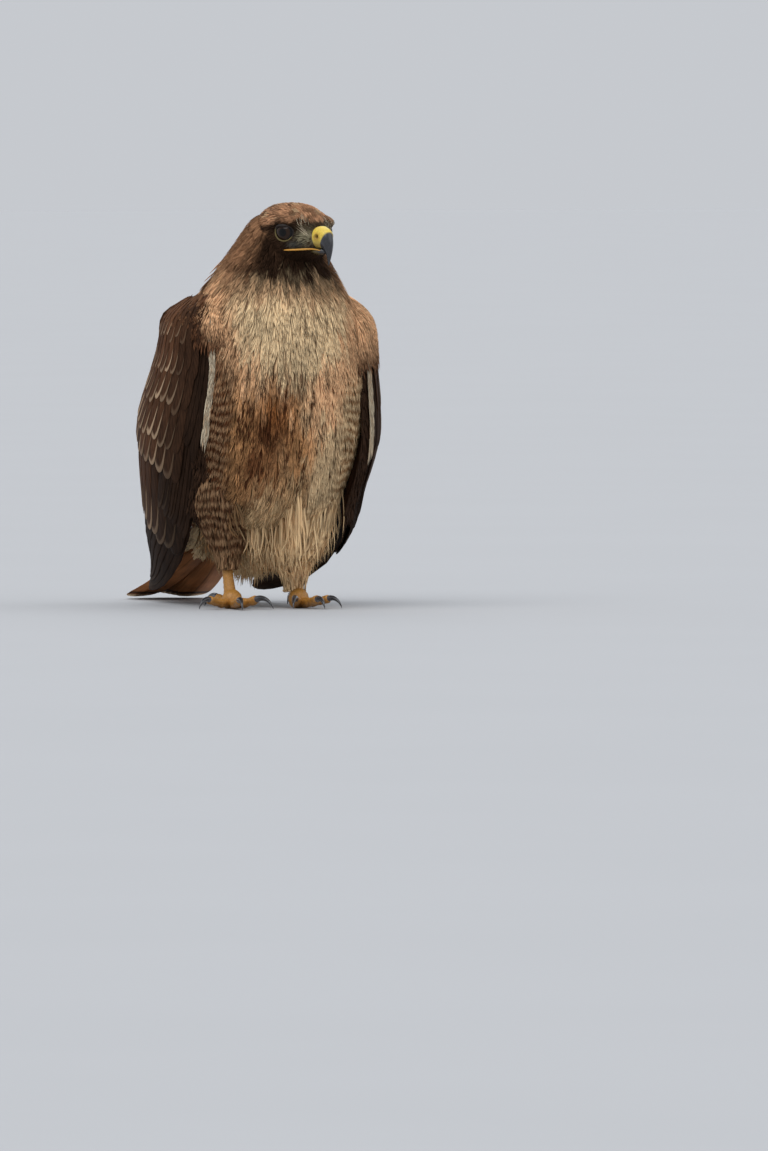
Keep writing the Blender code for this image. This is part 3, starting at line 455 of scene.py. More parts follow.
def blades(middle, normal, half, crown, section, tint, rim, bake, chance, share=None):
    """Thin closed feathers, each carried along its own middle line.

    middle is (feathers, steps, 3); its first and last points close the blade. The section
    is set across the line and along the normal, sized by half and by crown times half.
    """
    count, steps = middle.shape[:2]
    around = len(section)
    way = unit(np.gradient(middle, axis=1))
    side = unit(np.cross(way, normal))
    over = np.cross(side, way)
    inner = slice(1, steps - 1)
    wide = half[:, inner, None, None]
    rings = (middle[:, inner, None] + side[:, inner, None] * wide * section[:, 0:1]
             + over[:, inner, None] * wide * crown * section[:, 1:2])
    points = np.concatenate([middle[:, :1], rings.reshape(count, -1, 3), middle[:, -1:]], 1)
    spread = lambda values: np.concatenate(
        [values[:, :1], np.repeat(values[:, inner], around, axis=1), values[:, -1:]], 1)
    share = np.linspace(0, 1, steps) if share is None else share
    along = np.broadcast_to(share[None, :, None], (count, steps, 1))
    across = np.concatenate([[0.5], np.tile(0.5 + section[:, 0] / 2, steps - 2), [0.5]])
    lie = np.concatenate([np.broadcast_to(across[None, :, None], (count, len(across), 1)),
                          spread(along)], -1)
    rows = steps - 2
    faces = ring_faces(rows, around, closed=False) + 1
    i = np.arange(around)
    j = (i + 1) % around
    last = 1 + (rows - 1) * around
    faces = np.concatenate([faces, np.stack([0 * i, j + 1, i + 1], 1),
                            np.stack([last + i, last + j, np.full(around, 1 + rows * around)], 1)])
    each = 2 + rows * around
    faces = (faces[None] + each * np.arange(count)[:, None, None]).reshape(-1, 3)
    tint = spread(np.broadcast_to(tint, middle.shape))
    chance = np.broadcast_to(chance[:, None, None], (count, each, 1))
    return {"points": points.reshape(-1, 3), "faces": faces,
            "tint": np.concatenate([tint, chance], -1).reshape(-1, 4),
            "rim": np.repeat(rim, each, axis=0), "Lie": lie.reshape(-1, 2),
            "OFBake": (bake[:, None] + (lie - 0.5) * 0.003).reshape(-1, 2)}


def put(name, parts, material, stands_for=()):
    """Joins parts into one mesh object that rides on the bird's body."""
    start, data = 0, {key: [] for key in parts[0]}
    for part in parts:
        for key, values in part.items():
            data[key].append(values + start if key == "faces" else values)
        start += len(part["points"])
    data = {key: np.concatenate(values) for key, values in data.items()}
    if not np.isfinite(data["points"]).all():
        raise RuntimeError(name + " has points that are not numbers")
    faces = data["faces"].astype(np.int32)
    mesh = bpy.data.meshes.new(name)
    mesh.vertices.add(len(data["points"]))
    mesh.vertices.foreach_set("co", data["points"].astype(np.float32).ravel())
    mesh.loops.add(faces.size)
    mesh.loops.foreach_set("vertex_index", faces.ravel())
    mesh.polygons.add(len(faces))
    mesh.polygons.foreach_set("loop_start", np.arange(0, faces.size, 3, dtype=np.int32))
    mesh.polygons.foreach_set("use_smooth", np.ones(len(faces), dtype=bool))
    mesh.update(calc_edges=True)
    for key in ("tint", "rim"):
        layer = mesh.attributes.new(key, "FLOAT_COLOR", "POINT")
        layer.data.foreach_set("color", data[key].astype(np.float32).ravel())
    for key in ("Lie", "OFBake"):
        layer = mesh.uv_layers.new(name=key)
        layer.data.foreach_set("uv", data[key][faces.ravel()].astype(np.float32).ravel())
    mesh.materials.append(material)
    if mesh.validate():
        raise RuntimeError(name + " has faulty faces")
    piece = bpy.data.objects.new(name, mesh)
    bpy.context.scene.collection.objects.link(piece)
    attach(piece, "root")
    if stands_for:
        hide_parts(*stands_for)
    print(name, len(faces), "triangles")
    return piece


# ------------------------------------------------------------------ sowing feathers

def slopes(surface, u, v, lift=0.0, step=1e-3):
    """The surface's two slopes there by central differences, and its outward normal."""
    along = (surface(u + step, v, lift) - surface(u - step, v, lift)) / (2 * step)
    around = (surface(u, v + step, lift) - surface(u, v - step, lift)) / (2 * step)
    normal = unit(np.cross(along, around))
    outward = surface(u, v, lift + step) - surface(u, v, lift)
    normal *= np.where((normal * outward).sum(-1, keepdims=True) < 0, -1, 1)
    return along, around, normal


def sow(surface, u_range, v_range, cells, gap, draw):
    """Even roots: one per cell of a jittered grid, kept by the chance area / gap squared."""
    rows, columns = cells
    i, j = np.meshgrid(np.arange(rows), np.arange(columns), indexing="ij")
    shift = draw.uniform(0.1, 0.9, (2, rows, columns))
    u = (u_range[0] + (u_range[1] - u_range[0]) * (i + shift[0]) / rows).ravel()
    v = (v_range[0] + (v_range[1] - v_range[0]) * (j + shift[1]) / columns).ravel()
    along, around, _ = slopes(surface, u, v)
    cell = (u_range[1] - u_range[0]) * (v_range[1] - v_range[0]) / (rows * columns)
    area = np.linalg.norm(np.cross(along, around), axis=1) * abs(cell)
    spread = gap(u, v) if callable(gap) else gap
    keep = draw.uniform(0, 1, len(u)) < area / spread**2
    return u[keep], v[keep]


def nearest(points, centres):
    """The nearest centre to each point: least of |c|^2 - 2 p.c."""
    return np.argmin((centres**2).sum(1) - 2 * points @ centres.T, axis=1)


def laid(surface, u, v, length, half, lift, lean, draw, steps=5, pull=0.0, aside=0.0, sink=0.0012,
         limits=(0.0, 1e9), curl=0.12):
    """Middle lines that leave their roots down the lie of the coat and rise over the surface.

    u falls by cos(lean) and v grows by sin(lean) times the length, each divided by the
    surface's slope there. The lift goes from -sink at the root to lift at the tip as a power of
    the share. aside is how far each tip is drawn sideways to the middle of its own clump.
    """
    share = np.linspace(0, 1, steps)[None, :] ** 0.9
    along, around, _ = slopes(surface, u, v)
    run_u = (np.cos(lean) * length / np.linalg.norm(along, axis=1))[:, None]
    bend = draw.uniform(-curl, curl, len(u))
    run_v = (np.sin(lean) * length)[:, None] * share
    run_v = run_v + ((bend * length + aside * pull)[:, None]) * share**2
    uu = np.clip(u[:, None] - run_u * share, *limits)
    vv = v[:, None] + run_v / np.maximum(np.linalg.norm(around, axis=1), 5 * MM)[:, None]
    height = -sink + (np.broadcast_to(lift, u.shape)[:, None] + sink) * share**0.8
    middle = surface(uu, vv, height)
    # A line that runs off the surface's end keeps a little length, so that it stays a blade.
    way = middle[:, 1:2] - middle[:, :1]
    middle = middle + way * 1e-3 * np.arange(steps)[None, :, None]
    _, _, normal = slopes(surface, uu, vv, height)
    width = np.interp(share[0], [0, 0.2, 0.5, 0.8, 1], [0.5, 0.85, 1, 0.7, 0])
    return middle, normal, np.broadcast_to(half, u.shape)[:, None] * width[None]


def shade(colours, draw, spread=0.12, tip=1.15, steps=5, root=0.92):
    """Colours along each blade: its own brightness by chance, and a lighter tip."""
    bright = np.exp(draw.normal(0, spread, len(colours)))
    along = np.linspace(root, tip, steps)
    tint = colours[:, None, :] * bright[:, None, None] * along[None, :, None]
    return tint / np.maximum(1, tint.max(-1, keepdims=True) / 0.97)


def no_rim(count):
    return np.zeros((count, 4))


def tuft_bed(surface, u, v, length, half, lift, lean, tints, draw, bake, section=STRAND,
             crown=0.38, rim=None, spread=0.12, tip=1.15, base=0.92, paint=None, **more):
    """Blades laid from their roots over a surface, with their colours.

    paint(colours, middle lines), if given, changes the colours point by point.
    """
    middle, normal, wide = laid(surface, u, v, length, half, lift, lean, draw, **more)
    tint = shade(tints, draw, spread, tip, middle.shape[1], base)
    if paint:
        tint = paint(tint, middle)
    rim = no_rim(len(u)) if rim is None else rim
    return blades(middle, normal, wide, crown, section, tint, rim, np.clip(bake, 0.002, 0.998),
                  draw.uniform(0, 1, len(u)))


# ------------------------------------------------------------------ markings

def trunk_tint(points, station, angle, wobble):
    """The ground colour of neck, breast, belly and back.

    Smooth windows of the station along the trunk and of the angle round it are laid over one
    another; wobble, a pair of random numbers per clump, frays their borders.
    """
    t = station + 0.22 * wobble[0]
    turn = np.degrees(angle)
    degrees = np.abs(turn) + 5 * wobble[1]
    side_way = (points[:, 0] - MIDDLE_X) / MM
    high = t + 0.9 * ease(side_way, -10, 20)
    tint = mix(colour("shoulder"), colour("band"), 1 - ease(high, 4.6, 6.0))
    tint = tint * (1 + 0.30 * ease(side_way, 0, 18) * ease(t, 3.4, 4.6))[:, None]
    wide = np.interp(station, [5.2, 5.7, 6.3, 7.6, 8.3], [6, 17, 33, 49, 52])
    off = np.abs(turn + 6) + 4 * wobble[1]
    bib = (1 - ease(off, wide - 10, wide + 12)) * ease(t, 5.0, 5.9)
    tint = mix(tint, colour("bib"), bib)
    below = 1 - ease(t, 2.6, 4.2)
    # On the right side the lower belly takes the trousers' dark colour: partly the feathers' own brown and partly
    # painted shade.
    low = mix(colour("belly") * 1.1, colour("trousers") * 1.3, 1 - ease(side_way + 5 * wobble[1], -44, -26))
    tint = mix(tint, low, below)
    left = ease(side_way + 4 * wobble[1], 8, 22) * (1 - ease(side_way, 44, 58))
    left = left * ease(t, 2.2, 3.2) * (1 - ease(t, 4.4, 5.2))
    tint = mix(tint, colour("bib") * 0.95, 0.85 * left)
    tint = mix(tint, colour("streak") * 2.4, 0.6 * np.exp(-((side_way + 26) / 15) ** 2 - ((t - 4.3) / 1.0) ** 2))
    # Broad drifts of darker and lighter feathers: products of bent sines of place and height.
    up = points[:, 2] / MM
    drift = np.sin(side_way / 7.5 + 1.6 * np.sin(up / 21)) * np.sin(up / 17 + 1.4 * np.sin(side_way / 13))
    drift = drift * ease(t, 1.8, 3.0) * (1 - ease(t, 5.6, 6.8))
    darker = 0.22 + 0.50 * ease(-side_way, 2, 22) * ease(t, 3.0, 4.0)
    tint = mix(tint, colour("streak") * 1.8, darker * ease(drift, 0.10, 0.70) * (1 - ease(side_way, 10, 26)))
    tint = mix(tint, colour("bib") * 0.9, 0.45 * ease(-drift, 0.25, 0.85) * ease(side_way, -26, 8))
    tint = mix(tint, colour("bib"), (1 - ease(t, 0.8, 2.0)) * (1 - ease(degrees, 90, 130)))
    rust = np.exp(-((side_way + 22) / 14) ** 2 - ((up - 182) / 13) ** 2)
    tint = mix(tint, colour("band") * (0.85, 0.60, 0.40), 0.75 * rust)
    flank = ease(degrees, 36, 48) * ease(-turn, 0, 10) * (1 - ease(t, 4.6, 5.6)) * ease(t, 1.2, 2.2)
    tint = mix(tint, colour("band") * 0.42, 0.9 * flank)
    back = ease(degrees, 104, 124)
    tint = mix(tint, mix(colour("covert") * 1.3, colour("nape"), 0.30), back)
    tint = mix(tint, colour("shoulder") * 0.55, back * (1 - ease(t, 0.6, 1.8)))
    tawny = np.exp(-((t - 8.50) / 0.50) ** 2) * (1 - ease(degrees, 70, 100))
    tint = mix(tint, colour("shoulder") * 0.70, 0.85 * tawny)
    hood = ease(t, 8.15, 9.35)
    neck = mix(colour("face") * 1.2, colour("nape") * 1.15, ease(degrees, 40, 80))
    neck = mix(neck, colour("nape") * 0.8, ease(degrees, 100, 140))
    throat = np.exp(-((np.abs(turn) - 14 * (station - 9.1)) / 4) ** 2) * ease(t, 9.0, 9.4) * (1 - ease(t, 10.0, 10.5))
    neck = mix(neck, colour("bib") * 0.28, 0.6 * throat)
    return mix(tint, neck, hood)


BAR_PITCH = 0.0086


def trunk_marks(tint, points, station, angle, across, lucky):
    """Dark shaft streaks inside each clump, as inside one feather.

    across is each tuft's place across its clump in metres, lucky a random number of the clump.
    """
    turn = np.degrees(angle)
    degrees = np.abs(turn)
    side_way = (points[:, 0] - MIDDLE_X) / MM
    up = points[:, 2] / MM
    centre = np.exp(-(across / 0.0012) ** 2)
    band = ease(station, 2.4, 3.6) * (1 - ease(station, 5.4, 6.4)) * (1 - ease(degrees, 60, 80))
    left = ease(side_way, 12, 22) * (1 - ease(side_way, 46, 60))
    busy = 0.50 - 0.34 * left + 0.14 * ease(-side_way, 0, 30)
    dark = band * (lucky < busy) * centre
    breast = ease(station, 5.6, 6.3) * (1 - ease(station, 8.0, 8.4))
    dark = np.maximum(dark, breast * (lucky < 0.06 + 0.34 * ease(degrees, 34, 60)) * centre * 0.75)
    patch = np.exp(-((side_way + 31) / 13) ** 2 - ((up - 168) / 17) ** 2)
    dark = np.maximum(dark, 0.95 * patch * (lucky < 0.85))
    return mix(tint, colour("streak"), dark)


def barred(tint, middle, across, strength, ground, dark):
    """Bars over the feathers: a sine of the height, bent to chevrons by the distance from the
    feather's middle line and by slow waves round the body; ground and dark are the colours
    between and in the bars."""
    waver = 0.9 * np.sin(middle[..., 0] * 310 + middle[..., 2] * 55) + 0.7 * np.sin(middle[..., 1] * 220)
    wave = 0.5 + 0.5 * np.sin(middle[..., 2] / BAR_PITCH * 2 * math.pi
                              + (np.abs(across) / 0.0022)[:, None] + waver)
    bars = mix(ground, dark, ease(wave, 0.42, 0.62))
    return mix(tint, bars, np.broadcast_to(strength[:, None], wave.shape))


def head_tint(forward, side_way, up, wobble):
    """The ground colour of the head in its own frame, in millimetres."""
    side_way = np.abs(side_way)
    top = ease(up + 1.4 * wobble[0], 7.5, 13.0)
    tint = mix(colour("face"), colour("crown"), top)
    behind = ease(-forward + 3 * wobble[1], 0, 20) * (1 - ease(up, 14, 22))
    tint = mix(tint, colour("nape"), behind * ease(up, -26, -8))
    cheek = np.exp(-((forward + 4) / 7) ** 2 - ((up - 0) / 7) ** 2)
    tint = mix(tint, colour("nape") * 0.8, 0.6 * cheek)
    # A dark line just under the brow's ridge, from behind the eye to before it: painted shade of the brow.
    line = np.exp(-((up - 6.2 - 0.02 * forward) / 2.2) ** 2) * ease(side_way, 10, 15)
    tint = mix(tint, colour("face") * 0.7, 0.95 * line * ease(forward, -32, -20) * (1 - ease(forward, 22, 28)))
    near_eye = np.exp(-(np.hypot(forward - 14, (up - 1.5) * 1.15) / 12.5) ** 4)
    tint = mix(tint, colour("face") * 0.8, 0.9 * near_eye * ease(side_way, 10, 15))
    lores = np.exp(-((forward - 31) / 5.2) ** 2 - ((up + 3.0) / 6.5) ** 2)
    tint = mix(tint, colour("lores"), np.clip(1.25 * lores, 0, 1))
    grey = np.exp(-((forward - 23) / 5.0) ** 2 - ((up + 9.0) / 3.0) ** 2) * ease(side_way, 8, 13)
    return mix(tint, colour("lores") * (0.35, 0.40, 0.55), 0.8 * grey)


def bake_place(u, v, u_end, tile=(0.0, 0.0, 1.0, 1.0)):
    """A root's place on an unwrap of its form: v round it and u along it, in a tile."""
    turn = np.mod(v / (2 * math.pi) + 0.5, 1.0)
    return np.stack([tile[0] + tile[2] * turn, tile[1] + tile[3] * u / u_end], -1)


# ------------------------------------------------------------------ materials

def node(tree, kind, values=None, **settings):
    """Adds a shader node, with its settings and the values or links of its sockets."""
    made = tree.nodes.new(kind)
    for key, value in settings.items():
        setattr(made, key, value)
    for key, value in (values or {}).items():
        socket = made.inputs[key]
        if isinstance(value, bpy.types.NodeSocket):
            tree.links.new(value, socket)
        else:
            socket.default_value = value
    return made


def calc(tree, how, *values):
    return node(tree, "ShaderNodeMath", dict(enumerate(values)), operation=how).outputs[0]


def mapped(tree, value, low, high, out_low, out_high, smooth=True):
    made = node(tree, "ShaderNodeMapRange", {"Value": value, "From Min": low, "From Max": high,
                                            "To Min": out_low, "To Max": out_high})
    made.interpolation_type = "SMOOTHSTEP" if smooth else "LINEAR"
    return made.outputs[0]


def blend(tree, how, factor, a, b):
    made = node(tree, "ShaderNodeMix", data_type="RGBA", blend_type=how)
    for socket, value in ((made.inputs[0], factor), (made.inputs[6], a), (made.inputs[7], b)):
        if isinstance(value, bpy.types.NodeSocket):
            tree.links.new(value, socket)
        else:
            socket.default_value = value
    return made.outputs[2]


def new_material(name, **sockets):
    material = bpy.data.materials.new(name)
    material.use_nodes = True
    tree = material.node_tree
    shader = tree.nodes["Principled BSDF"]
    for key, value in sockets.items():
        shader.inputs[key.replace("_", " ")].default_value = value
    return material, tree, shader


def plumage(name, roughness, shaft=0.0, bars=0.0, streak=0.18, bump=0.3):
    """Feather surface: streaks of barbs that leave the shaft slantwise, a shaft line, rims.

    The barbs are noise on (across, along - slant * distance from the shaft), stretched along
    the slant; the rim covers along^4 + along * across^4 above a threshold.
    """
    material, tree, shader = new_material(name, Roughness=roughness, Specular_IOR_Level=0.05)
    tint = node(tree, "ShaderNodeAttribute", attribute_name="tint")
    rim = node(tree, "ShaderNodeAttribute", attribute_name="rim")
    lie = node(tree, "ShaderNodeUVMap", uv_map="Lie")
    axes = node(tree, "ShaderNodeSeparateXYZ", {0: lie.outputs[0]})
    x, y = axes.outputs[0], axes.outputs[1]
    off = calc(tree, "ABSOLUTE", calc(tree, "MULTIPLY_ADD", x, 2.0, -1.0))
    slant = calc(tree, "SUBTRACT", y, calc(tree, "MULTIPLY", off, 0.22))
    grain = node(tree, "ShaderNodeCombineXYZ", {
        0: calc(tree, "MULTIPLY", x, sizes().barb_gap), 1: calc(tree, "MULTIPLY", slant, 7.0),
        2: calc(tree, "MULTIPLY", tint.outputs["Alpha"], 61.0)})
    barbs = node(tree, "ShaderNodeTexNoise", {"Vector": grain.outputs[0], "Scale": 1.6, "Detail": 4.0,
                                             "Roughness": 0.62})
    bright = mapped(tree, barbs.outputs[0], 0.28, 0.72, 1 - streak, 1 + streak, smooth=False)
    place = node(tree, "ShaderNodeTexCoord")
    cloud = node(tree, "ShaderNodeTexNoise", {"Vector": place.outputs["Object"], "Scale": 55.0,
                                             "Detail": 3.0})
    bright = calc(tree, "MULTIPLY", bright, mapped(tree, cloud.outputs[0], 0.3, 0.7, 0.86, 1.14))
    if shaft:
        line = mapped(tree, off, 0.03, 0.11, 1 - shaft, 1.0)
        bright = calc(tree, "MULTIPLY", bright, line)
    if bars:
        wave = calc(tree, "SINE", calc(tree, "MULTIPLY_ADD", slant, 52.0, calc(
            tree, "MULTIPLY", barbs.outputs[0], 2.2)))
        bright = calc(tree, "MULTIPLY", bright, mapped(tree, wave, 0.1, 0.7, 1.0, 1 - bars))
    grey = node(tree, "ShaderNodeCombineColor", {0: bright, 1: bright, 2: bright})
    ground = blend(tree, "MULTIPLY", 1.0, tint.outputs["Color"], grey.outputs[0])
    field = calc(tree, "ADD", calc(tree, "POWER", y, 4.0), calc(
        tree, "MULTIPLY", calc(tree, "POWER", off, 4.0), y))
    field = calc(tree, "ADD", field, calc(tree, "MULTIPLY_ADD", barbs.outputs[0], 0.30, -0.15))
    field = calc(tree, "ADD", field, calc(tree, "MULTIPLY_ADD", tint.outputs["Alpha"], 0.16, -0.08))
    edge = calc(tree, "MULTIPLY", mapped(tree, field, 0.70, 0.90, 0.0, 1.0), rim.outputs["Alpha"])
    tree.links.new(blend(tree, "MIX", edge, ground, rim.outputs["Color"]), shader.inputs["Base Color"])
    raised = node(tree, "ShaderNodeBump", {"Strength": bump, "Distance": 0.0004,
                                          "Height": barbs.outputs[0]})
    tree.links.new(raised.outputs[0], shader.inputs["Normal"])
    return material


def bare(name, roughness, scale, spread, bump, **sockets):
    """Bare skin, horn or wax: the tint clouded by fine noise, which also raises the surface."""
    material, tree, shader = new_material(name, Roughness=roughness, **sockets)
    tint = node(tree, "ShaderNodeAttribute", attribute_name="tint")
    place = node(tree, "ShaderNodeTexCoord")
    fine = node(tree, "ShaderNodeTexNoise", {"Vector": place.outputs["Object"], "Scale": scale,
                                            "Detail": 5.0, "Roughness": 0.6})
    bright = mapped(tree, fine.outputs[0], 0.3, 0.7, 1 - spread, 1 + spread)
    grey = node(tree, "ShaderNodeCombineColor", {0: bright, 1: bright, 2: bright})
    tree.links.new(blend(tree, "MULTIPLY", 1.0, tint.outputs["Color"], grey.outputs[0]),
                   shader.inputs["Base Color"])
    raised = node(tree, "ShaderNodeBump", {"Strength": bump, "Distance": 0.0003,
                                          "Height": fine.outputs[0]})
    tree.links.new(raised.outputs[0], shader.inputs["Normal"])
    return material


def material(name, make, *args, **more):
    """A material made once and then shared."""
    return bpy.data.materials.get(name) or make(name, *args, **more)


def down():
    return material("body_plumage", plumage, 0.78, streak=0.10, bump=0.15)


def vane_finish():
    return material("flight_plumage", plumage, 0.62, shaft=0.35, bars=0.25, streak=0.34, bump=0.4)


# ------------------------------------------------------------------ operators

class HAWK_OT_skin(bpy.types.Operator):
    """Skin under the coat: trunk and neck, head with its brows, thighs, wing arms and rump"""
    bl_idname = "hawk.skin"
    bl_label = "Skin"

    def execute(self, context):
        depth = -sizes().coat_depth
        turn = np.linspace(0, 2 * math.pi, 97)[:-1]
        still = np.zeros(2)
        parts = []
        u, v = np.meshgrid(np.linspace(0.02, TRUNK_END, 90), turn, indexing="ij")
        grid = trunk(u, v, depth)
        turned = np.where(v > math.pi, v - 2 * math.pi, v).ravel()
        tint = trunk_tint(grid.reshape(-1, 3), u.ravel(), turned, still)
        # The trunk's skin takes the coat's colours darkened by 0.85: painted shade under the feathers.
        parts.append(shell(grid, tint.reshape(grid.shape) * 0.85))
        u, v = np.meshgrid(np.linspace(0, HEAD_END, 100), turn, indexing="ij")
        forward, ray_s, ray_u, reach, middle = skull(u, v)
        over = head_tint(forward / MM, reach * ray_s / MM, (middle + reach * ray_u) / MM, still)
        # The head's skin is darkened by 0.85 in the same way: painted shade under the feathers.
        parts.append(shell(head(u, v, -0.0007), over * 0.85))
        for sign in SIDES.values():
            u, v = np.meshgrid(np.linspace(0, 5, 30), turn[::3], indexing="ij")
            # The thighs' skin is the trousers' colour at half: painted shade under the feathers.
            parts.append(shell(thigh(sign)(u, v, -0.003), colour("trousers") * 0.5))
            parts.append(self.arm(sign))
        u, v = np.meshgrid(np.linspace(0.002, 0.44, 24), turn[::2], indexing="ij")
        # The rump's skin is the belly's colour at half: painted shade under the coverts.
        parts.append(shell(tail_base(u, v, -0.002), colour("belly") * 0.5))
        put("skin", parts, material("skin", plumage, 0.8, bump=0.2),
            ("head", "neck", "torso", "tail", "thigh_right", "thigh_left", "wing_right", "wing_left"))
        return {"FINISHED"}

    def arm(self, sign):
        """A pad inside the wing: its outer face follows the wing, its inner face lies deeper."""
        share = np.array([0.004, 0.02, 0.05, 0.09, 0.14, 0.2, 0.27, 0.34, 0.42, 0.5, PAD_END])
        full = np.array([0.45, 0.8, 0.95, 1, 1, 1, 1, 1, 1, 1, 0.6])[:, None]
        stage = share / PAD_END * (len(PAD_DEPTH) - 1)
        deep = through(PAD_DEPTH, stage) * MM
        sink = through(PAD_SINK, stage) * MM
        widest = (0.97 - 0.30 * (share / PAD_END) ** 2)[:, None]
        places = np.linspace(0.03, 0.97, 15)[None]
        across = 0.5 * widest + (places * widest / 0.97 - 0.5 * widest) * (0.55 + 0.45 * full)
        rim = np.sin(math.pi * places) ** 0.5
        surface = wing(sign)
        outer = surface(share[:, None], across, -sink - (1 - full * rim) * 0.35 * deep)
        inner = surface(share[:, None], across, -sink - 0.35 * deep - (0.0009 + 0.65 * deep * rim) * full)
        # The pad takes the coverts' colour darkened: painted shade under the wing's feathers.
        return shell(np.concatenate([outer, inner[:, ::-1]], axis=1), colour("covert") * 0.7)


class HAWK_OT_body(bpy.types.Operator):
    """Fine tufts of the neck, breast, belly and flanks, gathered in clumps like feathers"""
    bl_idname = "hawk.body"
    bl_label = "Body feathers"

    def execute(self, context):
        size = sizes()
        draw = np.random.default_rng(11)
        roots = {"belly": (0.15, 5.2, (-1.06, 1.06)), "breast": (5.2, 12.0, (-1.06, 1.06)),
                 "right_flank": (0.15, 12.0, (-2.1, -1.06)), "left_flank": (0.15, 12.0, (1.06, 2.1)),
                 "nape": (7.4, 12.0, (2.1, 4.18))}
        for name, (low, high, sides) in roots.items():
            cells = (int(260 * (high - low) / 12), int(1000 * (sides[1] - sides[0]) / (2 * math.pi)))
            u, v = sow(trunk, (low, high), sides, cells,
                       lambda u, v: size.breast_gap * (1 - 0.25 * ease(u, 7.5, 10)), draw)
            hidden = (np.abs(np.degrees(v)) > 88) & (np.abs(np.degrees(v)) < 121) & (u < 7.6) & (u > 1.4)
            keep = ~hidden | (draw.uniform(0, 1, len(u)) < 0.25)
            u, v = u[keep], v[keep]
            put("feathers_" + name, self.coat(u, v, draw), down())
        return {"FINISHED"}

    def coat(self, u, v, draw):
        size = sizes()
        cu, cv = sow(trunk, (u.min(), u.max()), (v.min(), v.max()), (110, 110), 0.0080, draw)
        centres, points = trunk(cu, cv), trunk(u, v)
        # The clumps are long cells: heights are squeezed before the nearest centre is found.
        squeeze = np.array([1, 1, 0.30])
        own = nearest(points * squeeze, centres * squeeze)
        _, around, _ = slopes(trunk, cu, cv)
        across = ((points - centres[own]) * unit(around)[own]).sum(1)
        wobble = draw.normal(0, 1, (2, len(cu)))[:, own]
        lucky = draw.uniform(0, 1, len(cu))[own]
        shift = np.where(v > math.pi, v - 2 * math.pi, v)
        tint = trunk_tint(points, u, shift, wobble)
        tint = tint * np.exp(draw.normal(0, 0.14, len(cu)))[own, None]
        tint = trunk_marks(tint, points, u, shift, across, lucky)
        degrees = np.abs(np.degrees(shift))
        flank = 0.9 * ease(degrees, np.where(shift < 0, 38, 22), np.where(shift < 0, 50, 40))
        flank = flank * ease(u, 0.9, 1.8) * (1 - ease(u, 5.0, 6.2))
        right = (shift < 0)[:, None, None]
        ground = np.where(right, colour("shoulder") * 0.44, colour("bib") * 0.80)
        dark = np.where(right, colour("streak") * 1.1, colour("band") * 0.45)
        neck = ease(u, 7.2, 9.5)
        low = 1 - ease(u, 2.6, 4.0)
        length = size.breast_tuft * (1 - 0.36 * neck + 0.30 * low) * draw.uniform(0.75, 1.25, len(u))
        half = size.breast_gap * (0.38 - 0.10 * neck) * draw.uniform(0.75, 1.2, len(u))
        length = length * (1 + 0.5 * (1 - ease(u, 1.0, 4.4)))
        lift = (0.6 + 1.2 * low) * MM * draw.uniform(0.4, 1.2, len(u))
        lean = draw.normal(0, 0.05 + 0.10 * low, len(u)) + 0.12 * np.sign(shift) * low
        place = bake_place(u, v, 12.0)
        parts = []
        # Tufts that carry bars have more steps than plain ones.
        for here, steps in ((flank > 0.4, 7), (flank <= 0.4, 5)):
            def paint(tint, middle):
                return barred(tint, middle, across[here], flank[here], ground[here], dark[here])
            if here.any():
                parts.append(tuft_bed(trunk, u[here], v[here], length[here], half[here], lift[here],
                                      lean[here], tint[here], draw, place[here], pull=-0.7,
                                      aside=across[here], limits=(0.0, 12.0), sink=size.coat_depth,
                                      spread=0.035, tip=1.02, base=0.99, crown=0.13, curl=0.06,
                                      paint=paint, steps=steps))
        return parts


class HAWK_OT_mantle(bpy.types.Operator):
    """Broad brown feathers of the back and the rump, with pale edges"""
    bl_idname = "hawk.mantle"
    bl_label = "Back feathers"

    def execute(self, context):
        draw = np.random.default_rng(17)
        span = (math.radians(112), math.radians(248))
        u, v = sow(trunk, (0.3, 8.9), span, (70, 60), 0.0088, draw)
        order = np.argsort(u)
        u, v = u[order], v[order]
        count = len(u)
        wobble = draw.normal(0, 1, (2, count))
        tint = trunk_tint(trunk(u, v), u, v - 2 * math.pi * (v > math.pi), wobble)
        length = sizes().mantle_feather * (1 - 0.35 * ease(u, 6.5, 8.8)) * draw.uniform(0.85, 1.15, count)
        half = length * 0.27
        lift = draw.uniform(1.2, 3.2, count) * MM
        rim = np.column_stack([mix(colour("edge"), colour("belly"), 1 - ease(u, 0.5, 2.5))
                               * draw.uniform(0.6, 1.1, (count, 1)), draw.uniform(0.2, 0.8, count)])
        part = tuft_bed(trunk, u, v, length, half, lift, draw.normal(0, 0.08, count), tint, draw,
                        bake_place(u, v, 12.0), section=LEAF, crown=0.16, rim=rim, steps=8,
                        limits=(0.0, 12.0), sink=0.0026, curl=0.05)
        put("feathers_back", [part], vane_finish())
        return {"FINISHED"}


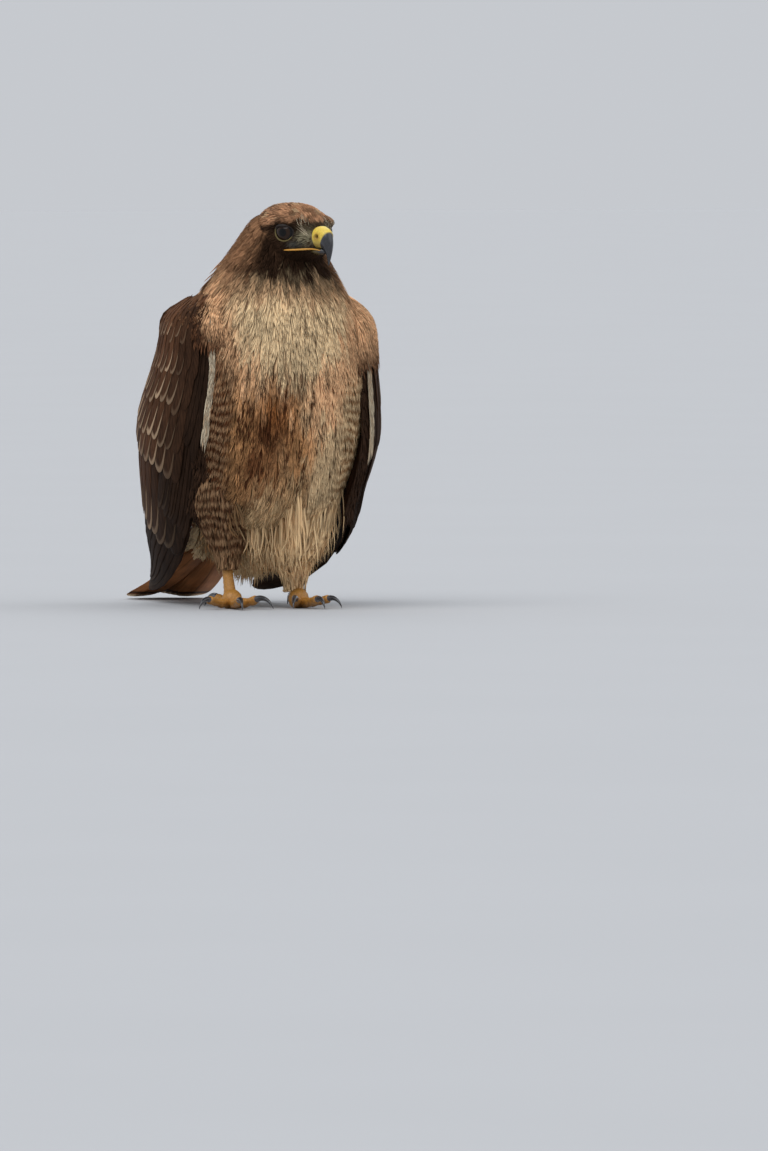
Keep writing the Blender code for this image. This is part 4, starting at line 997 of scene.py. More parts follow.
class HAWK_OT_head_coat(bpy.types.Operator):
    """The smallest tufts, swept back over the crown, brows, cheeks and throat"""
    bl_idname = "hawk.head_coat"
    bl_label = "Head feathers"

    def execute(self, context):
        size = sizes()
        draw = np.random.default_rng(23)
        gap = lambda u, v: size.head_gap * (1.12 - 0.36 * ease(u, 3.0, 5.5))
        u, v = sow(head, (0.9, HEAD_END - 0.05), (-math.pi, math.pi), (170, 240), gap, draw)
        forward, ray_s, ray_u, reach, middle = skull(u, v)
        f, s, up = forward / MM, reach * ray_s / MM, (middle + reach * ray_u) / MM
        ahead, above = (x / MM for x in eye_plane(forward, np.abs(reach * ray_s), middle + reach * ray_u))
        from_eye = np.hypot(ahead / 9.4, above / np.where(above > 0, 6.8, 8.6))
        keep = (from_eye > 1.0) | (np.abs(s) < 15)
        keep &= f < 34.6
        keep &= ~((np.abs(up + 14.0) < 1.0) & (f > 13))
        u, v, f, s, up = (a[keep] for a in (u, v, f, s, up))
        count = len(u)
        cu, cv = sow(head, (0.9, HEAD_END - 0.05), (-math.pi, math.pi), (90, 120), 0.0044, draw)
        own = nearest(head(u, v), head(cu, cv))
        wobble = draw.normal(0, 1, (2, len(cu)))[:, own]
        tint = head_tint(f, s, up, wobble) * np.exp(draw.normal(0, 0.15, len(cu)))[own, None]
        flecks = (draw.uniform(0, 1, len(cu))[own] < 0.16) * ease(up, 12, 17)
        tint = mix(tint, colour("bib") * 0.60, 0.5 * flecks)
        dark = (draw.uniform(0, 1, len(cu))[own] < 0.34) * ease(up, 9, 15)
        tint = mix(tint, colour("face"), 0.5 * dark)
        face = ease(f, -4, 20)
        length = size.head_tuft * (1.25 - 0.62 * face) * draw.uniform(0.75, 1.25, count)
        half = size.head_gap * (0.42 - 0.16 * face) * draw.uniform(0.75, 1.2, count)
        lift = (0.70 - 0.40 * face) * MM * draw.uniform(0.2, 1.4, count)
        lean = draw.normal(0, 0.13, count) + 0.35 * np.sign(v) * (np.abs(v) > 0.9)
        lean = np.where(np.abs(v) > 2.6, 0, lean)
        part = tuft_bed(head, u, v, length, half, lift, lean, tint, draw,
                        bake_place(u, v, HEAD_END), limits=(0.4, HEAD_END), sink=0.0007, spread=0.10,
                        crown=0.3)
        parts = [part, self.bristles(draw)]
        put("feathers_head", parts, down())
        return {"FINISHED"}

    def bristles(self, draw):
        """Fine pale bristles that fan from the cere's root back and up over the lores."""
        high = np.arange(150) < 95
        count = len(high)
        angle = np.where(high, draw.uniform(0.85, 1.5, count), draw.uniform(1.5, 2.2, count))
        angle = angle * draw.choice([-1.0, 1.0], count)
        row = np.where(high, draw.uniform(6.3, 6.95, count), draw.uniform(6.5, 6.95, count))
        share = np.linspace(0, 1, 7)[None]
        length = np.where(high, draw.uniform(0.5, 1.0, count), draw.uniform(0.25, 0.45, count))[:, None]
        climb = np.where(high, draw.uniform(0.30, 0.75, count), 0.1)[:, None]
        rows = row[:, None] - 0.95 * length * share
        angles = angle[:, None] - np.sign(angle[:, None]) * climb * (length * share)
        lift = (-0.5 + 2.4 * share**1.4 * length) * MM
        middle = head(rows, angles, lift)
        _, _, normal = slopes(head, rows, angles, lift)
        pale = high & (draw.uniform(0, 1, count) < 0.50)
        tint = np.where(pale[:, None], colour("bib") * (0.55, 0.64, 0.78), colour("face") * 1.5)
        half = np.interp(share[0], [0, 0.3, 0.7, 1], [0.5, 1, 0.6, 0]) * draw.uniform(
            0.00014, 0.00026, (count, 1))
        return blades(middle, normal, half, 0.6, STRAND, shade(tint, draw, 0.2, 1.0, 7), no_rim(count),
                      np.clip(bake_place(row, angle, HEAD_END), 0.002, 0.998), draw.uniform(0, 1, count))


# How far across each wing the breast's feathers lap, over what width they turn brown, and
# how the pale edge's white differs from the bib.
REACH = {-1: 0.12, 1: 0.42}
FADE = {-1: 0.14, 1: 0.24}
PALE_EDGE = np.array([0.80, 0.90, 1.10])
PALE_SPAN = {-1: ((0.05, 0.30), (-0.040, -0.012)), 1: ((0.10, 0.33), (-0.018, 0.020))}


class HAWK_OT_wings(bpy.types.Operator):
    """Both folded wings: flight feathers, coverts in tiers, scapulars and small edge feathers"""
    bl_idname = "hawk.wings"
    bl_label = "Wings"

    # Name, count, (share, across) of the first and last root and tip, half width of the
    # first and last in mm, lift in mm, colour, how pale the rim is.
    ROWS = [
        ("primary", 10, ((0.44, 0.03), (0.42, 0.40)), ((0.995, 0.17), (0.87, 0.90)), (8, 11), -8.6,
         "flight", 0.05),
        ("secondary", 13, ((0.32, 0.12), (0.26, 0.80)), ((0.68, 0.10), (0.72, 0.97)), (10, 14), -5.8,
         "flight", 0.8),
        ("primary_covert", 9, ((0.27, 0.02), (0.26, 0.15)), ((0.60, 0.06), (0.57, 0.24)), (5, 7), -4.4,
         "flight", 0.15),
        ("greater_covert", 15, ((0.19, 0.12), (0.14, 0.84)), ((0.47, 0.12), (0.47, 0.95)), (8, 11.5), -2.8,
         "covert", 0.9),
        ("alula", 4, ((0.12, 0.01), (0.12, 0.09)), ((0.38, 0.03), (0.34, 0.13)), (4.5, 6), -1.6,
         "flight", 0.1),
        ("second_covert", 16, ((0.14, 0.12), (0.10, 0.83)), ((0.375, 0.12), (0.38, 0.94)), (7, 10), -1.6,
         "covert", 1.0),
        ("median_covert", 16, ((0.09, 0.11), (0.06, 0.82)), ((0.285, 0.11), (0.29, 0.92)), (6.5, 9), -0.6,
         "covert", 1.0),
        ("lower_lesser", 17, ((0.05, 0.09), (0.03, 0.80)), ((0.20, 0.08), (0.21, 0.90)), (5.5, 8), 0.2,
         "covert", 0.9),
        ("upper_lesser", 16, ((0.012, 0.08), (0.0, 0.78)), ((0.125, 0.07), (0.13, 0.88)), (5, 7), 0.8,
         "covert", 0.6),
        ("low_scapular", 8, ((0.16, 0.70), (0.08, 0.93)), ((0.46, 0.80), (0.52, 1.03)), (10, 9), 1.2,
         "covert", 0.8),
        ("scapular", 8, ((0.08, 0.66), (0.02, 0.93)), ((0.30, 0.76), (0.36, 1.0)), (9.5, 9), 2.2,
         "covert", 0.9),
        ("upper_scapular", 7, ((0.02, 0.62), (0.0, 0.92)), ((0.17, 0.72), (0.20, 0.97)), (8, 8), 2.8,
         "covert", 0.7),
    ]

    def execute(self, context):
        for side, sign in SIDES.items():
            draw = np.random.default_rng(31 + sign)
            parts = [self.row(sign, draw, *row) for row in self.ROWS]
            put("wing_feathers_" + side, parts, vane_finish())
            put("wing_edge_" + side, self.edge(sign, draw), down())
        return {"FINISHED"}

    def row(self, sign, draw, name, count, root, tip, half, lift, tint, rim):
        """Like feathers side by side: root and tip run evenly from the first to the last, and
        each leans about its shaft by the lift over its distance to the next, as shingles do."""
        surface = wing(sign)
        steps = 12
        s = np.array([0, 0.06, 0.16, 0.3, 0.45, 0.6, 0.74, 0.85, 0.92, 0.965, 0.99, 1.0])
        width = np.interp(s, [0, 0.2, 0.5, 0.74, 0.85, 0.92, 0.965, 0.99, 1], [0.5, 0.8, 1, 1, 0.93, 0.78, 0.55, 0.28, 0])
        numbers = np.linspace(0, 1, count)[:, None]
        between = lambda ends, axis: ends[0][axis] + (ends[1][axis] - ends[0][axis]) * numbers
        longer = draw.uniform(-0.012, 0.012, (count, 1))
        aside = draw.uniform(-0.006, 0.006, (count, 1))
        share = between(root, 0) + (between(tip, 0) + longer - between(root, 0)) * s
        across = between(root, 1) + (between(tip, 1) + aside - between(root, 1)) * s
        height = (lift - 3.0 * np.clip(1 - s / 0.22, 0, 1)) * MM * np.ones_like(share)
        middle = surface(share, across, height)
        spacing = np.linalg.norm(np.gradient(middle, axis=0), axis=-1)
        _, around, normal = slopes(surface, share, across, height)
        tilt = np.minimum(1.0 * MM / spacing, 0.30)[..., None]
        toward_back = unit(around)
        normal = unit(normal + toward_back * tilt)
        wide = (half[0] + (half[1] - half[0]) * numbers) * MM * width
        base = colour(tint)
        if tint == "covert":
            base = base * (1.55 - 0.55 * ease(share.mean(1), 0.06, 0.26))[:, None]
            base = mix(base, colour("nape"), 0.40 * ease(across.mean(1), 0.45, 0.95))
            base = mix(base, colour("flight"), 0.75 * (1 - ease(across.mean(1), 0.16, 0.34)))
            front = REACH[sign] - 0.6 * FADE[sign]
            front = (1 - ease(across.mean(1), front, front + 0.1)) * (1 - ease(share.mean(1), 0.09, 0.15))
            front = front * (sign > 0)
            base = mix(base, colour("shoulder") * 0.8, front)
        if name == "secondary":
            base = mix(base, colour("covert") * 1.2, 0.75 * ease(across.mean(1), 0.16, 0.45))
        tints = np.broadcast_to(base, (count, 3)) * np.exp(draw.normal(0, 0.09, (count, 1)))
        strength = rim * draw.uniform(0.35, 1.0, count) * ease(across[:, -1], 0.12, 0.3)
        rims = np.column_stack([colour("edge") * draw.uniform(0.55, 1.25, (count, 1)), strength])
        turn = np.stack([0.05 + 0.9 * across[:, 0], 0.05 + 0.9 * share[:, 0]], -1)
        order = {"primary": 0.0, "secondary": 0.3}.get(name, 0.6)
        return blades(middle, normal, wide, 0.12, FEATHER, shade(tints, draw, 0.05, 1.1, steps), rims,
                      np.clip(turn + 0.004 * order, 0.002, 0.998), draw.uniform(0, 1, count), s)

    def edge(self, sign, draw):
        """Small feathers of the wrist, and the pale ones along the wing's leading edge."""
        surface = wing(sign)
        reach, fade = REACH[sign], FADE[sign]
        u, v = sow(surface, (0.0, 0.07), (0.0, 0.98), (60, 140), 0.0032, draw)
        keep = v > 0.9 * reach
        u, v = u[keep], v[keep]
        count = len(u)
        tint = mix(colour("covert"), colour("nape") * 0.6, draw.uniform(0, 0.6, count))
        rim = np.column_stack([np.tile(colour("edge"), (count, 1)), draw.uniform(0, 0.6, count)])
        places = np.stack([0.05 + 0.9 * v, 0.05 + 0.9 * u], -1)
        parts = [tuft_bed(surface, u, v, np.full(count, -0.012) * draw.uniform(0.8, 1.2, count), 0.0020,
                          draw.uniform(1.2, 2.2, count) * MM, draw.normal(0, 0.12, count), tint, draw,
                          places, section=LEAF, crown=0.2, rim=rim, steps=6, limits=(0, 1), sink=0.001)]
        # Breast feathers that lap over the wrist: further over the left wing, which hangs forward.
        end = 0.17 if sign > 0 else 0.12
        u, v = sow(surface, (0.0, end), (-0.12, reach), (110, 110), 0.0017, draw)
        keep = draw.uniform(0, 1, len(u)) > ease(u, end - 0.03, end) + ease(v, reach - 0.04, reach)
        u, v = u[keep], v[keep]
        count = len(u)
        brown = ease(v + draw.normal(0, 0.016, count), reach - fade, reach - 0.1 * fade)
        brown = np.clip(brown + ease(u, end - 0.09, end), 0, 1)
        tint = mix(colour("shoulder"), colour("covert") * 1.5, brown)
        tint = mix(tint, colour("streak"), 0.6 * (draw.uniform(0, 1, count) < 0.04))
        places = np.stack([0.05 + 0.9 * (v + 0.12), 0.05 + 0.9 * u], -1)
        parts.append(tuft_bed(surface, u, v, np.full(count, -0.015) * draw.uniform(0.8, 1.2, count), 0.0010,
                              draw.uniform(1.9, 2.9, count) * MM, draw.normal(0, 0.08, count), tint, draw,
                              places, limits=(0, 1), sink=0.002, crown=0.2))
        # A narrow pale border along the leading edge, which thins out at its lower end.
        (low, high), sides = PALE_SPAN[sign]
        u, v = sow(surface, (low, high), sides, (150, 40), 0.0012, draw)
        keep = draw.uniform(0, 1, len(u)) > 0.9 * ease(u, high - 0.16, high) * (v - sides[0]) / (sides[1] - sides[0])
        u, v = u[keep], v[keep]
        count = len(u)
        tint = np.tile(colour("bib") * PALE_EDGE, (count, 1))
        tint = mix(tint * 0.85, colour("shoulder") * 0.6, 0.6 * (draw.uniform(0, 1, count) < 0.20))
        places = np.stack([0.05 + 0.9 * (v + 0.08), 0.05 + 0.9 * u], -1)
        parts.append(tuft_bed(surface, u, v, np.full(count, -0.022) * draw.uniform(0.7, 1.2, count), 0.0008,
                              draw.uniform(0.5, 0.9, count) * MM, draw.normal(0, 0.02, count), tint,
                              draw, places, limits=(0, 1), sink=0.001, crown=0.15, curl=0.02,
                              spread=0.05, tip=1.0, base=1.0))
        # Dark small feathers under the leading edge.
        u, v = sow(surface, (0.12, 0.50), (-0.075, 0.03), (70, 16), 0.0030, draw)
        count = len(u)
        tint = np.tile(colour("flight") * 1.4, (count, 1))
        places = np.stack([0.05 + 0.9 * (v + 0.08), 0.05 + 0.9 * u], -1)
        parts.append(tuft_bed(surface, u, v, np.full(count, -0.017) * draw.uniform(0.8, 1.2, count), 0.0014,
                              draw.uniform(-2.6, -1.4, count) * MM, draw.normal(0, 0.05, count), tint,
                              draw, places, steps=5, limits=(0, 1), sink=0.004))
        return parts


class HAWK_OT_tail(bpy.types.Operator):
    """Twelve tail feathers with their dark band, and the coverts above and below them"""
    bl_idname = "hawk.tail"
    bl_label = "Tail"

    def execute(self, context):
        draw = np.random.default_rng(41)
        s = np.array([0, 0.03, 0.1, 0.22, 0.38, 0.55, 0.7, 0.80, 0.855, 0.872, 0.905, 0.925, 0.955, 0.98, 0.994, 1.0])
        width = np.interp(s, [0, 0.25, 0.6, 0.86, 0.93, 0.965, 0.99, 1], [0.45, 0.75, 0.98, 1, 0.9, 0.72, 0.4, 0])
        number = np.tile(np.arange(6), 2)[:, None]
        sign = np.repeat([-1.0, 1.0], 6)[:, None]
        share = 0.06 + (1.0 - 0.012 * number - 0.06) * s
        forward, up = tail_line(share)
        splay = (2.6 + 4.6 * number) * MM * (0.25 + 0.75 * s)
        depth = (1.35 * number + 0.65 * (sign > 0)) * MM
        middle = world(sign * splay, forward, up - depth + 0.6 * MM)
        middle[..., 2] = np.maximum(middle[..., 2], 0.0009)
        way = unit(np.gradient(middle, axis=1))
        across = np.zeros_like(way)
        across[..., 0] = 1
        normal = unit(np.cross(across, way))
        normal *= np.sign(normal[..., 2:3])
        rufous = np.tile(colour("tail"), (12, len(s), 1))
        band = (ease(s, 0.86, 0.875) * (1 - ease(s, 0.905, 0.92)))[None, :]
        tint = mix(rufous, colour("flight"), 0.9 * np.repeat(band, 12, 0))
        tint = mix(tint, colour("bib") * 0.75, np.repeat(ease(s, 0.925, 0.95)[None], 12, 0))
        tint = tint * np.exp(draw.normal(0, 0.07, (12, 1, 1)))
        bake = np.stack([0.3 + 0.03 * (number[:, 0] * sign[:, 0] + 6), np.full(12, 0.5)], -1)
        vanes = blades(middle, normal, np.tile(15.5 * MM * width, (12, 1)), 0.05, FEATHER, tint,
                       no_rim(12), bake, draw.uniform(0, 1, 12))
        finish = material("tail_plumage", plumage, 0.55, shaft=0.4, streak=0.22, bump=0.3)
        put("tail_feathers", [vanes], finish)
        put("tail_coverts", self.coverts(draw), down())
        return {"FINISHED"}

    def coverts(self, draw):
        u, v = sow(tail_base, (0.0, 0.36), (-math.pi, math.pi), (60, 110), 0.0046, draw)
        count = len(u)
        above = ease(np.abs(v), 1.4, 1.8)
        tint = mix(colour("bib") * 0.85, mix(colour("shoulder") * 0.6, colour("tail"), draw.uniform(0, 1, count)), above)
        length = draw.uniform(0.020, 0.032, count)
        return [tuft_bed(tail_base, u, v, -length, 0.0026, draw.uniform(0.8, 2.2, count) * MM,
                         draw.normal(0, 0.08, count), tint, draw, bake_place(u, v, 0.5), section=LEAF,
                         crown=0.2, steps=6, limits=(0.0, 0.5), sink=0.0022)]


class HAWK_OT_trousers(bpy.types.Operator):
    """Shaggy feathers of the thighs and the long wispy fringe of the belly"""
    bl_idname = "hawk.trousers"
    bl_label = "Trousers and fringe"

    # How low the fringe hangs at a few distances from the middle, in mm.
    FRINGE_SIDES = [-60, -34, -20, 0, 20, 40, 62]
    FRINGE_LOW = [56, 50, 38, 28, 18, 20, 40]

    def execute(self, context):
        for side, sign in SIDES.items():
            draw = np.random.default_rng(51 + sign)
            surface = thigh(sign)
            u, v = sow(surface, (0.1, 4.6), (-math.pi, math.pi), (90, 150), 0.0034, draw)
            count = len(u)
            pale = draw.uniform(0, 1, count)
            tint = mix(colour("belly"), colour("bib"), pale * 0.8)
            # The right thigh takes the trousers' colour and the left the belly's: the right one's darkness is partly
            # its own brown and partly painted shade under the belly.
            if sign < 0:
                tint = mix(colour("trousers"), colour("shoulder") * 0.45, pale)
            strength = np.full(count, 0.0 if sign > 0 else 0.75) * ease(u, 0.6, 2.0)
            paint = lambda tint, middle: barred(tint, middle, 0 * u, strength, colour("shoulder") * 0.42,
                                                colour("streak") * 1.0)
            dark = draw.uniform(0, 1, count) < 0.12
            tint = mix(tint, colour("streak") * 1.6, 0.6 * dark)
            length = draw.uniform(0.018, 0.034, count)
            part = tuft_bed(surface, u, v, length, draw.uniform(1.2, 2.0, count) * MM,
                            draw.uniform(0.4, 2.6, count) * MM, draw.normal(0, 0.12, count), tint, draw,
                            bake_place(u, v, 5.0), limits=(-0.75, 5.0), sink=0.003, crown=0.3,
                            paint=paint, steps=7)
            put("feathers_thigh_" + side, [part], down())
        put("feathers_fringe", [self.fringe(np.random.default_rng(61))], down())
        return {"FINISHED"}

    def fringe(self, draw):
        """Locks from the belly: root + (tip - root) s, bowed outwards by a sine of the share."""
        count = 3000
        angle = np.radians(draw.uniform(-56, 56, count))
        top = 2.35 + 0.45 * np.sin(angle * 7.0 + 1.0) + 0.30 * np.sin(angle * 17.0) + draw.normal(0, 0.2, count)
        station = 0.9 + (top - 0.9) * draw.uniform(0, 1, count) ** 1.5
        root = trunk(station, angle, -0.0030)
        outward = unit(trunk(station, angle, 0.001) - root)
        side_way = (root[:, 0] - MIDDLE_X) / MM
        low = np.interp(side_way, self.FRINGE_SIDES, self.FRINGE_LOW)
        low = low + 12 * (station - 1.9) + 10 * np.abs(draw.normal(0, 1, count))
        low = np.minimum(low, root[:, 2] / MM - 12)
        clump = np.round(side_way / 9 + 0.3 * np.sin(station * 5)) * 9
        aim = side_way + (clump - side_way) * draw.uniform(0.2, 0.75, count)
        aim = aim * (1 - 0.30 * draw.uniform(0, 1, count)) + 4
        ahead = -root[:, 1] - FEET_FORWARD - 0.010 * draw.uniform(0.2, 1.3, count)
        near_leg = np.abs(side_way / 1000 - FOOT_SIDE[1]) < 0.024
        ahead = np.where(near_leg, np.maximum(ahead, 0.012), ahead)
        tip = world(aim * 0.95 * MM, ahead, low * MM)
        # None is longer than a real one: the rest of the way is left to lower locks.
        reach = np.linalg.norm(tip - root, axis=1, keepdims=True)
        tip = root + (tip - root) * np.minimum(1, draw.uniform(0.030, 0.052, (count, 1)) / reach)
        s = np.linspace(0, 1, 7)[None, :, None]
        length = np.linalg.norm(tip - root, axis=1)[:, None, None]
        bow = draw.uniform(0.0, 0.075, (count, 1, 1))
        middle = root[:, None] + (tip - root)[:, None] * s + outward[:, None] * (
            bow * length * np.sin(s * math.pi) * (1 - 0.3 * s) + 0.0034 * s)
        middle[..., 0] += draw.normal(0, 0.0038, (count, 1)) * np.sin(
            s[..., 0] * 4 + draw.uniform(0, 6, (count, 1))) * s[..., 0]
        middle[..., 2] = np.maximum(middle[..., 2], 0.004)
        normal = np.broadcast_to(outward[:, None], middle.shape)
        half = draw.uniform(0.7, 1.5, (count, 1)) * MM * np.interp(
            s[0, :, 0], [0, 0.2, 0.5, 0.8, 1], [0.5, 1, 0.85, 0.45, 0])
        tint = mix(colour("belly"), colour("bib"), draw.uniform(0.2, 1.0, count))
        shaded = 1 - ease(side_way + draw.normal(0, 6, count), -42, -20)
        tint = mix(tint, colour("trousers") * 1.6, 0.85 * shaded)
        tint = mix(tint, colour("band"), 0.75 * (draw.uniform(0, 1, count) < 0.18))
        coat = trunk_tint(root, station, angle, draw.normal(0, 1, (2, count)))
        tint = mix(tint, coat, 0.85 * ease(station, 1.7, 2.7))
        turn = bake_place(station, angle, TRUNK_END)
        return blades(middle, normal, half, 0.25, STRAND, shade(tint, draw, 0.10, 1.12, 7), no_rim(count),
                      np.clip(turn, 0.002, 0.998), draw.uniform(0, 1, count))


class HAWK_OT_eyes(bpy.types.Operator):
    """Eyeballs with pupil, iris and a clear bulge, and the lids round them"""
    bl_idname = "hawk.eyes"
    bl_label = "Eyes"

    def execute(self, context):
        wet = material("wet_eye", bare, 0.12, 900.0, 0.12, 0.0, Specular_IOR_Level=0.22)
        lid_skin = material("lid_skin", bare, 0.55, 1500.0, 0.2, 0.5)
        for side, sign in SIDES.items():
            centre, out, ahead, over = self.axes(sign)
            theta, phi = np.meshgrid(np.linspace(0.02, math.pi - 0.02, 90), np.linspace(0, 2 * math.pi, 65)[:-1],
                                     indexing="ij")
            radius = sizes().eye_radius * (1 + 0.02 * np.exp(-(theta / 0.4) ** 2))
            grid = centre + radius[..., None] * (
                np.cos(theta)[..., None] * out + np.sin(theta)[..., None]
                * (np.cos(phi)[..., None] * ahead + np.sin(phi)[..., None] * over))
            tint = mix(np.zeros(3) + 0.0015, colour("iris"), ease(theta, 0.30, 0.34))
            tint = mix(tint, colour("iris") * 1.2, ease(theta, 0.36, 0.44) * (1 - ease(theta, 0.46, 0.62)))
            tint = mix(tint, np.zeros(3) + 0.003, ease(theta, 0.58, 0.66))
            put("eyeball_" + side, [shell(grid, tint)], wet, ("eye_" + side,))
            put("lids_" + side, [self.lid(centre, out, ahead, over)], lid_skin)
        return {"FINISHED"}

    def axes(self, sign):
        """The eye's centre, the way that it looks, and the ways ahead and up across that."""
        place = np.array(EYE_AT) * (1, sign, 1) * MM
        looks = np.array([math.sin(EYE_TURN), sign * math.cos(EYE_TURN), -0.05]) * MM
        centre = head_world(*place)
        out = unit(head_world(*(place + looks)) - centre)
        over = unit(np.array([0, 0, 1.0]) - out * out[2])
        return centre, out, np.cross(over, out), over

    def lid(self, centre, out, ahead, over):
        """A lip of skin round the eye: an ellipse, flatter on top, with a small oval section."""
        a, t = np.meshgrid(np.linspace(0, 2 * math.pi, 97)[:-1], np.linspace(0, 2 * math.pi, 13)[:-1], indexing="ij")
        top = np.maximum(np.sin(a), 0)
        high = 0.86 - 0.16 * top**2
        rim = (np.cos(a)[..., None] * ahead + (high * np.sin(a))[..., None] * over) * 0.0089
        thick = (0.75 + 0.9 * top**2 + 0.05 * np.cos(9 * a)) * MM
        far = np.sqrt(sizes().eye_radius**2 - (rim**2).sum(-1, keepdims=True))
        grid = centre + out * (far + 0.0004) + rim + (
            np.cos(t) * thick)[..., None] * unit(rim) + (np.sin(t) * thick * 1.2)[..., None] * out
        # The rim is pale only on its lower side; the dark top of the lid is partly its own dark skin and partly painted
        # shade under the brow.
        pale = 1 - ease(np.sin(a) + 0.5 * np.cos(a), -0.35, 0.15)
        tint = mix(colour("face") * 0.5, colour("lores") * (0.62, 0.50, 0.18), 0.8 * pale * (np.cos(t) < 0.6))
        return loop(grid, tint)


def loop(grid, tint):
    """A closed ring-shaped tube over a grid of rings."""
    rows, around = grid.shape[:2]
    i, k = np.meshgrid(np.arange(around), np.arange(rows), indexing="xy")
    j, m = (i + 1) % around, (k + 1) % rows
    a, b, c, d = (x.ravel() for x in (k * around + i, k * around + j, m * around + j, m * around + i))
    faces = np.concatenate([np.stack([a, b, c], 1), np.stack([a, c, d], 1)])
    points = grid.reshape(-1, 3)
    p, q, r = (points[faces[:, n]] - points.mean(0) for n in range(3))
    if np.einsum("ij,ij->i", p, np.cross(q, r)).sum() < 0:
        faces = faces[:, ::-1]
    count = len(points)
    lie = np.stack(np.meshgrid(np.linspace(0, 1, around), np.linspace(0, 1, rows), indexing="xy"), -1).reshape(-1, 2)
    return {"points": points, "faces": faces, "tint": np.column_stack([
        np.broadcast_to(tint, grid.shape).reshape(-1, 3), np.full(count, 0.5)]),
        "rim": np.zeros((count, 4)), "Lie": lie, "OFBake": lie}


def bill_grid(rows, steps, around, power):
    """Rings from the ridge down to the cutting edge: boxy ovals across a line of the bill."""
    share = np.linspace(0, len(rows) - 1, steps)
    table = through(rows, share) * MM
    angles = 2 * math.pi * (np.arange(around) + 0.5) / around
    c, s = rounded(angles, power)
    ridge, edge, half = table[:, 0:2], table[:, 2:4], table[:, 4:5]
    flat = ((ridge + edge) / 2)[:, None] + ((ridge - edge) / 2)[:, None] * c[None, :, None]
    return flat[..., 0], half * s, flat[..., 1], share / (len(rows) - 1)


def tube(path, radius, around, flatten=1.0):
    """Rings across a path of points; radius may vary along it and round it."""
    way = unit(np.gradient(path, axis=0))
    upright = np.where(np.abs(way[:, 2:3]) > 0.9, [[0.0, 1.0, 0.0]], [[0.0, 0.0, 1.0]])
    side = unit(np.cross(way, upright))
    over = np.cross(side, way)
    angle = 2 * math.pi * np.arange(around) / around
    radius = np.broadcast_to(radius, (len(path), around))[..., None]
    return path[:, None] + radius * (side[:, None] * np.cos(angle)[None, :, None]
                                     + flatten * over[:, None] * np.sin(angle)[None, :, None])


class HAWK_OT_bill(bpy.types.Operator):
    """Cere with its nostrils, hooked bill, lower bill and the lips of the gape"""
    bl_idname = "hawk.bill"
    bl_label = "Bill"

    def execute(self, context):
        wax = material("cere_wax", bare, 0.42, 700.0, 0.14, 0.5, Subsurface_Weight=0.12,
                       Subsurface_Scale=0.002)
        horn = material("horn", bare, 0.24, 420.0, 0.25, 0.25, Coat_Weight=0.3, Coat_Roughness=0.15)
        forward, side_way, up, share = bill_grid(CERE, 60, 80, 2.3)
        away = np.hypot(forward - NOSTRIL_AT[0] * MM, up - NOSTRIL_AT[2] * MM)
        hole = np.exp(-(away / 0.00150) ** 4) * (np.abs(side_way) > 0.004)
        rim = np.exp(-((away - 0.0024) / 0.0007) ** 2)
        grid = head_world(forward, side_way * (1 - 0.42 * hole + 0.03 * rim), up)
        tint = mix(colour("cere"), colour("lores") * (1.2, 0.95, 0.4), 0.85 * ease(-up, 0.003, 0.010))
        tint = mix(tint, colour("gape") * 0.5, 0.7 * np.exp(-((away - 0.0020) / 0.0014) ** 2))
        # The nostril's opening is painted dark: painted shade inside it, over a shallow dent.
        tint = mix(tint, np.array([0.03, 0.012, 0.008]), hole)
        tint = mix(tint, colour("horn") * 3, 0.5 * ease(share, 0.93, 1.0)[:, None] + 0 * up)
        put("cere_skin", [shell(grid, tint)], wax, ("cere",))
        forward, side_way, up, share = bill_grid(HOOK, 90, 64, 2.1)
        tint = mix(colour("horn") * (3.0, 3.2, 3.4), colour("horn"), ease(share, 0.05, 0.36)[:, None] + 0 * up)
        put("hook", [shell(head_world(forward, side_way, up), tint)], horn, ("bill_upper",))
        forward, side_way, up, share = bill_grid(LOWER_BILL, 50, 48, 2.0)
        tint = mix(colour("lores") * (0.3, 0.25, 0.15), colour("horn") * 1.4, ease(share, 0.44, 0.70)[:, None] + 0 * up)
        put("lower_bill", [shell(head_world(forward, side_way, up), tint)], horn, ("bill_lower",))
        lips = []
        for sign in SIDES.values():
            points = through(LIP, np.linspace(0, 5, 70)) * (1, sign, 1) * MM
            radius = np.interp(np.linspace(0, 1, 70), [0, 0.12, 0.45, 0.7, 1], [0.3, 0.75, 0.85, 0.6, 0.3]) * MM
            path = head_world(points[:, 0], points[:, 1], points[:, 2])
            lips.append(shell(tube(path, radius[:, None], 16), colour("gape")))
        put("gape", lips, wax)
        return {"FINISHED"}


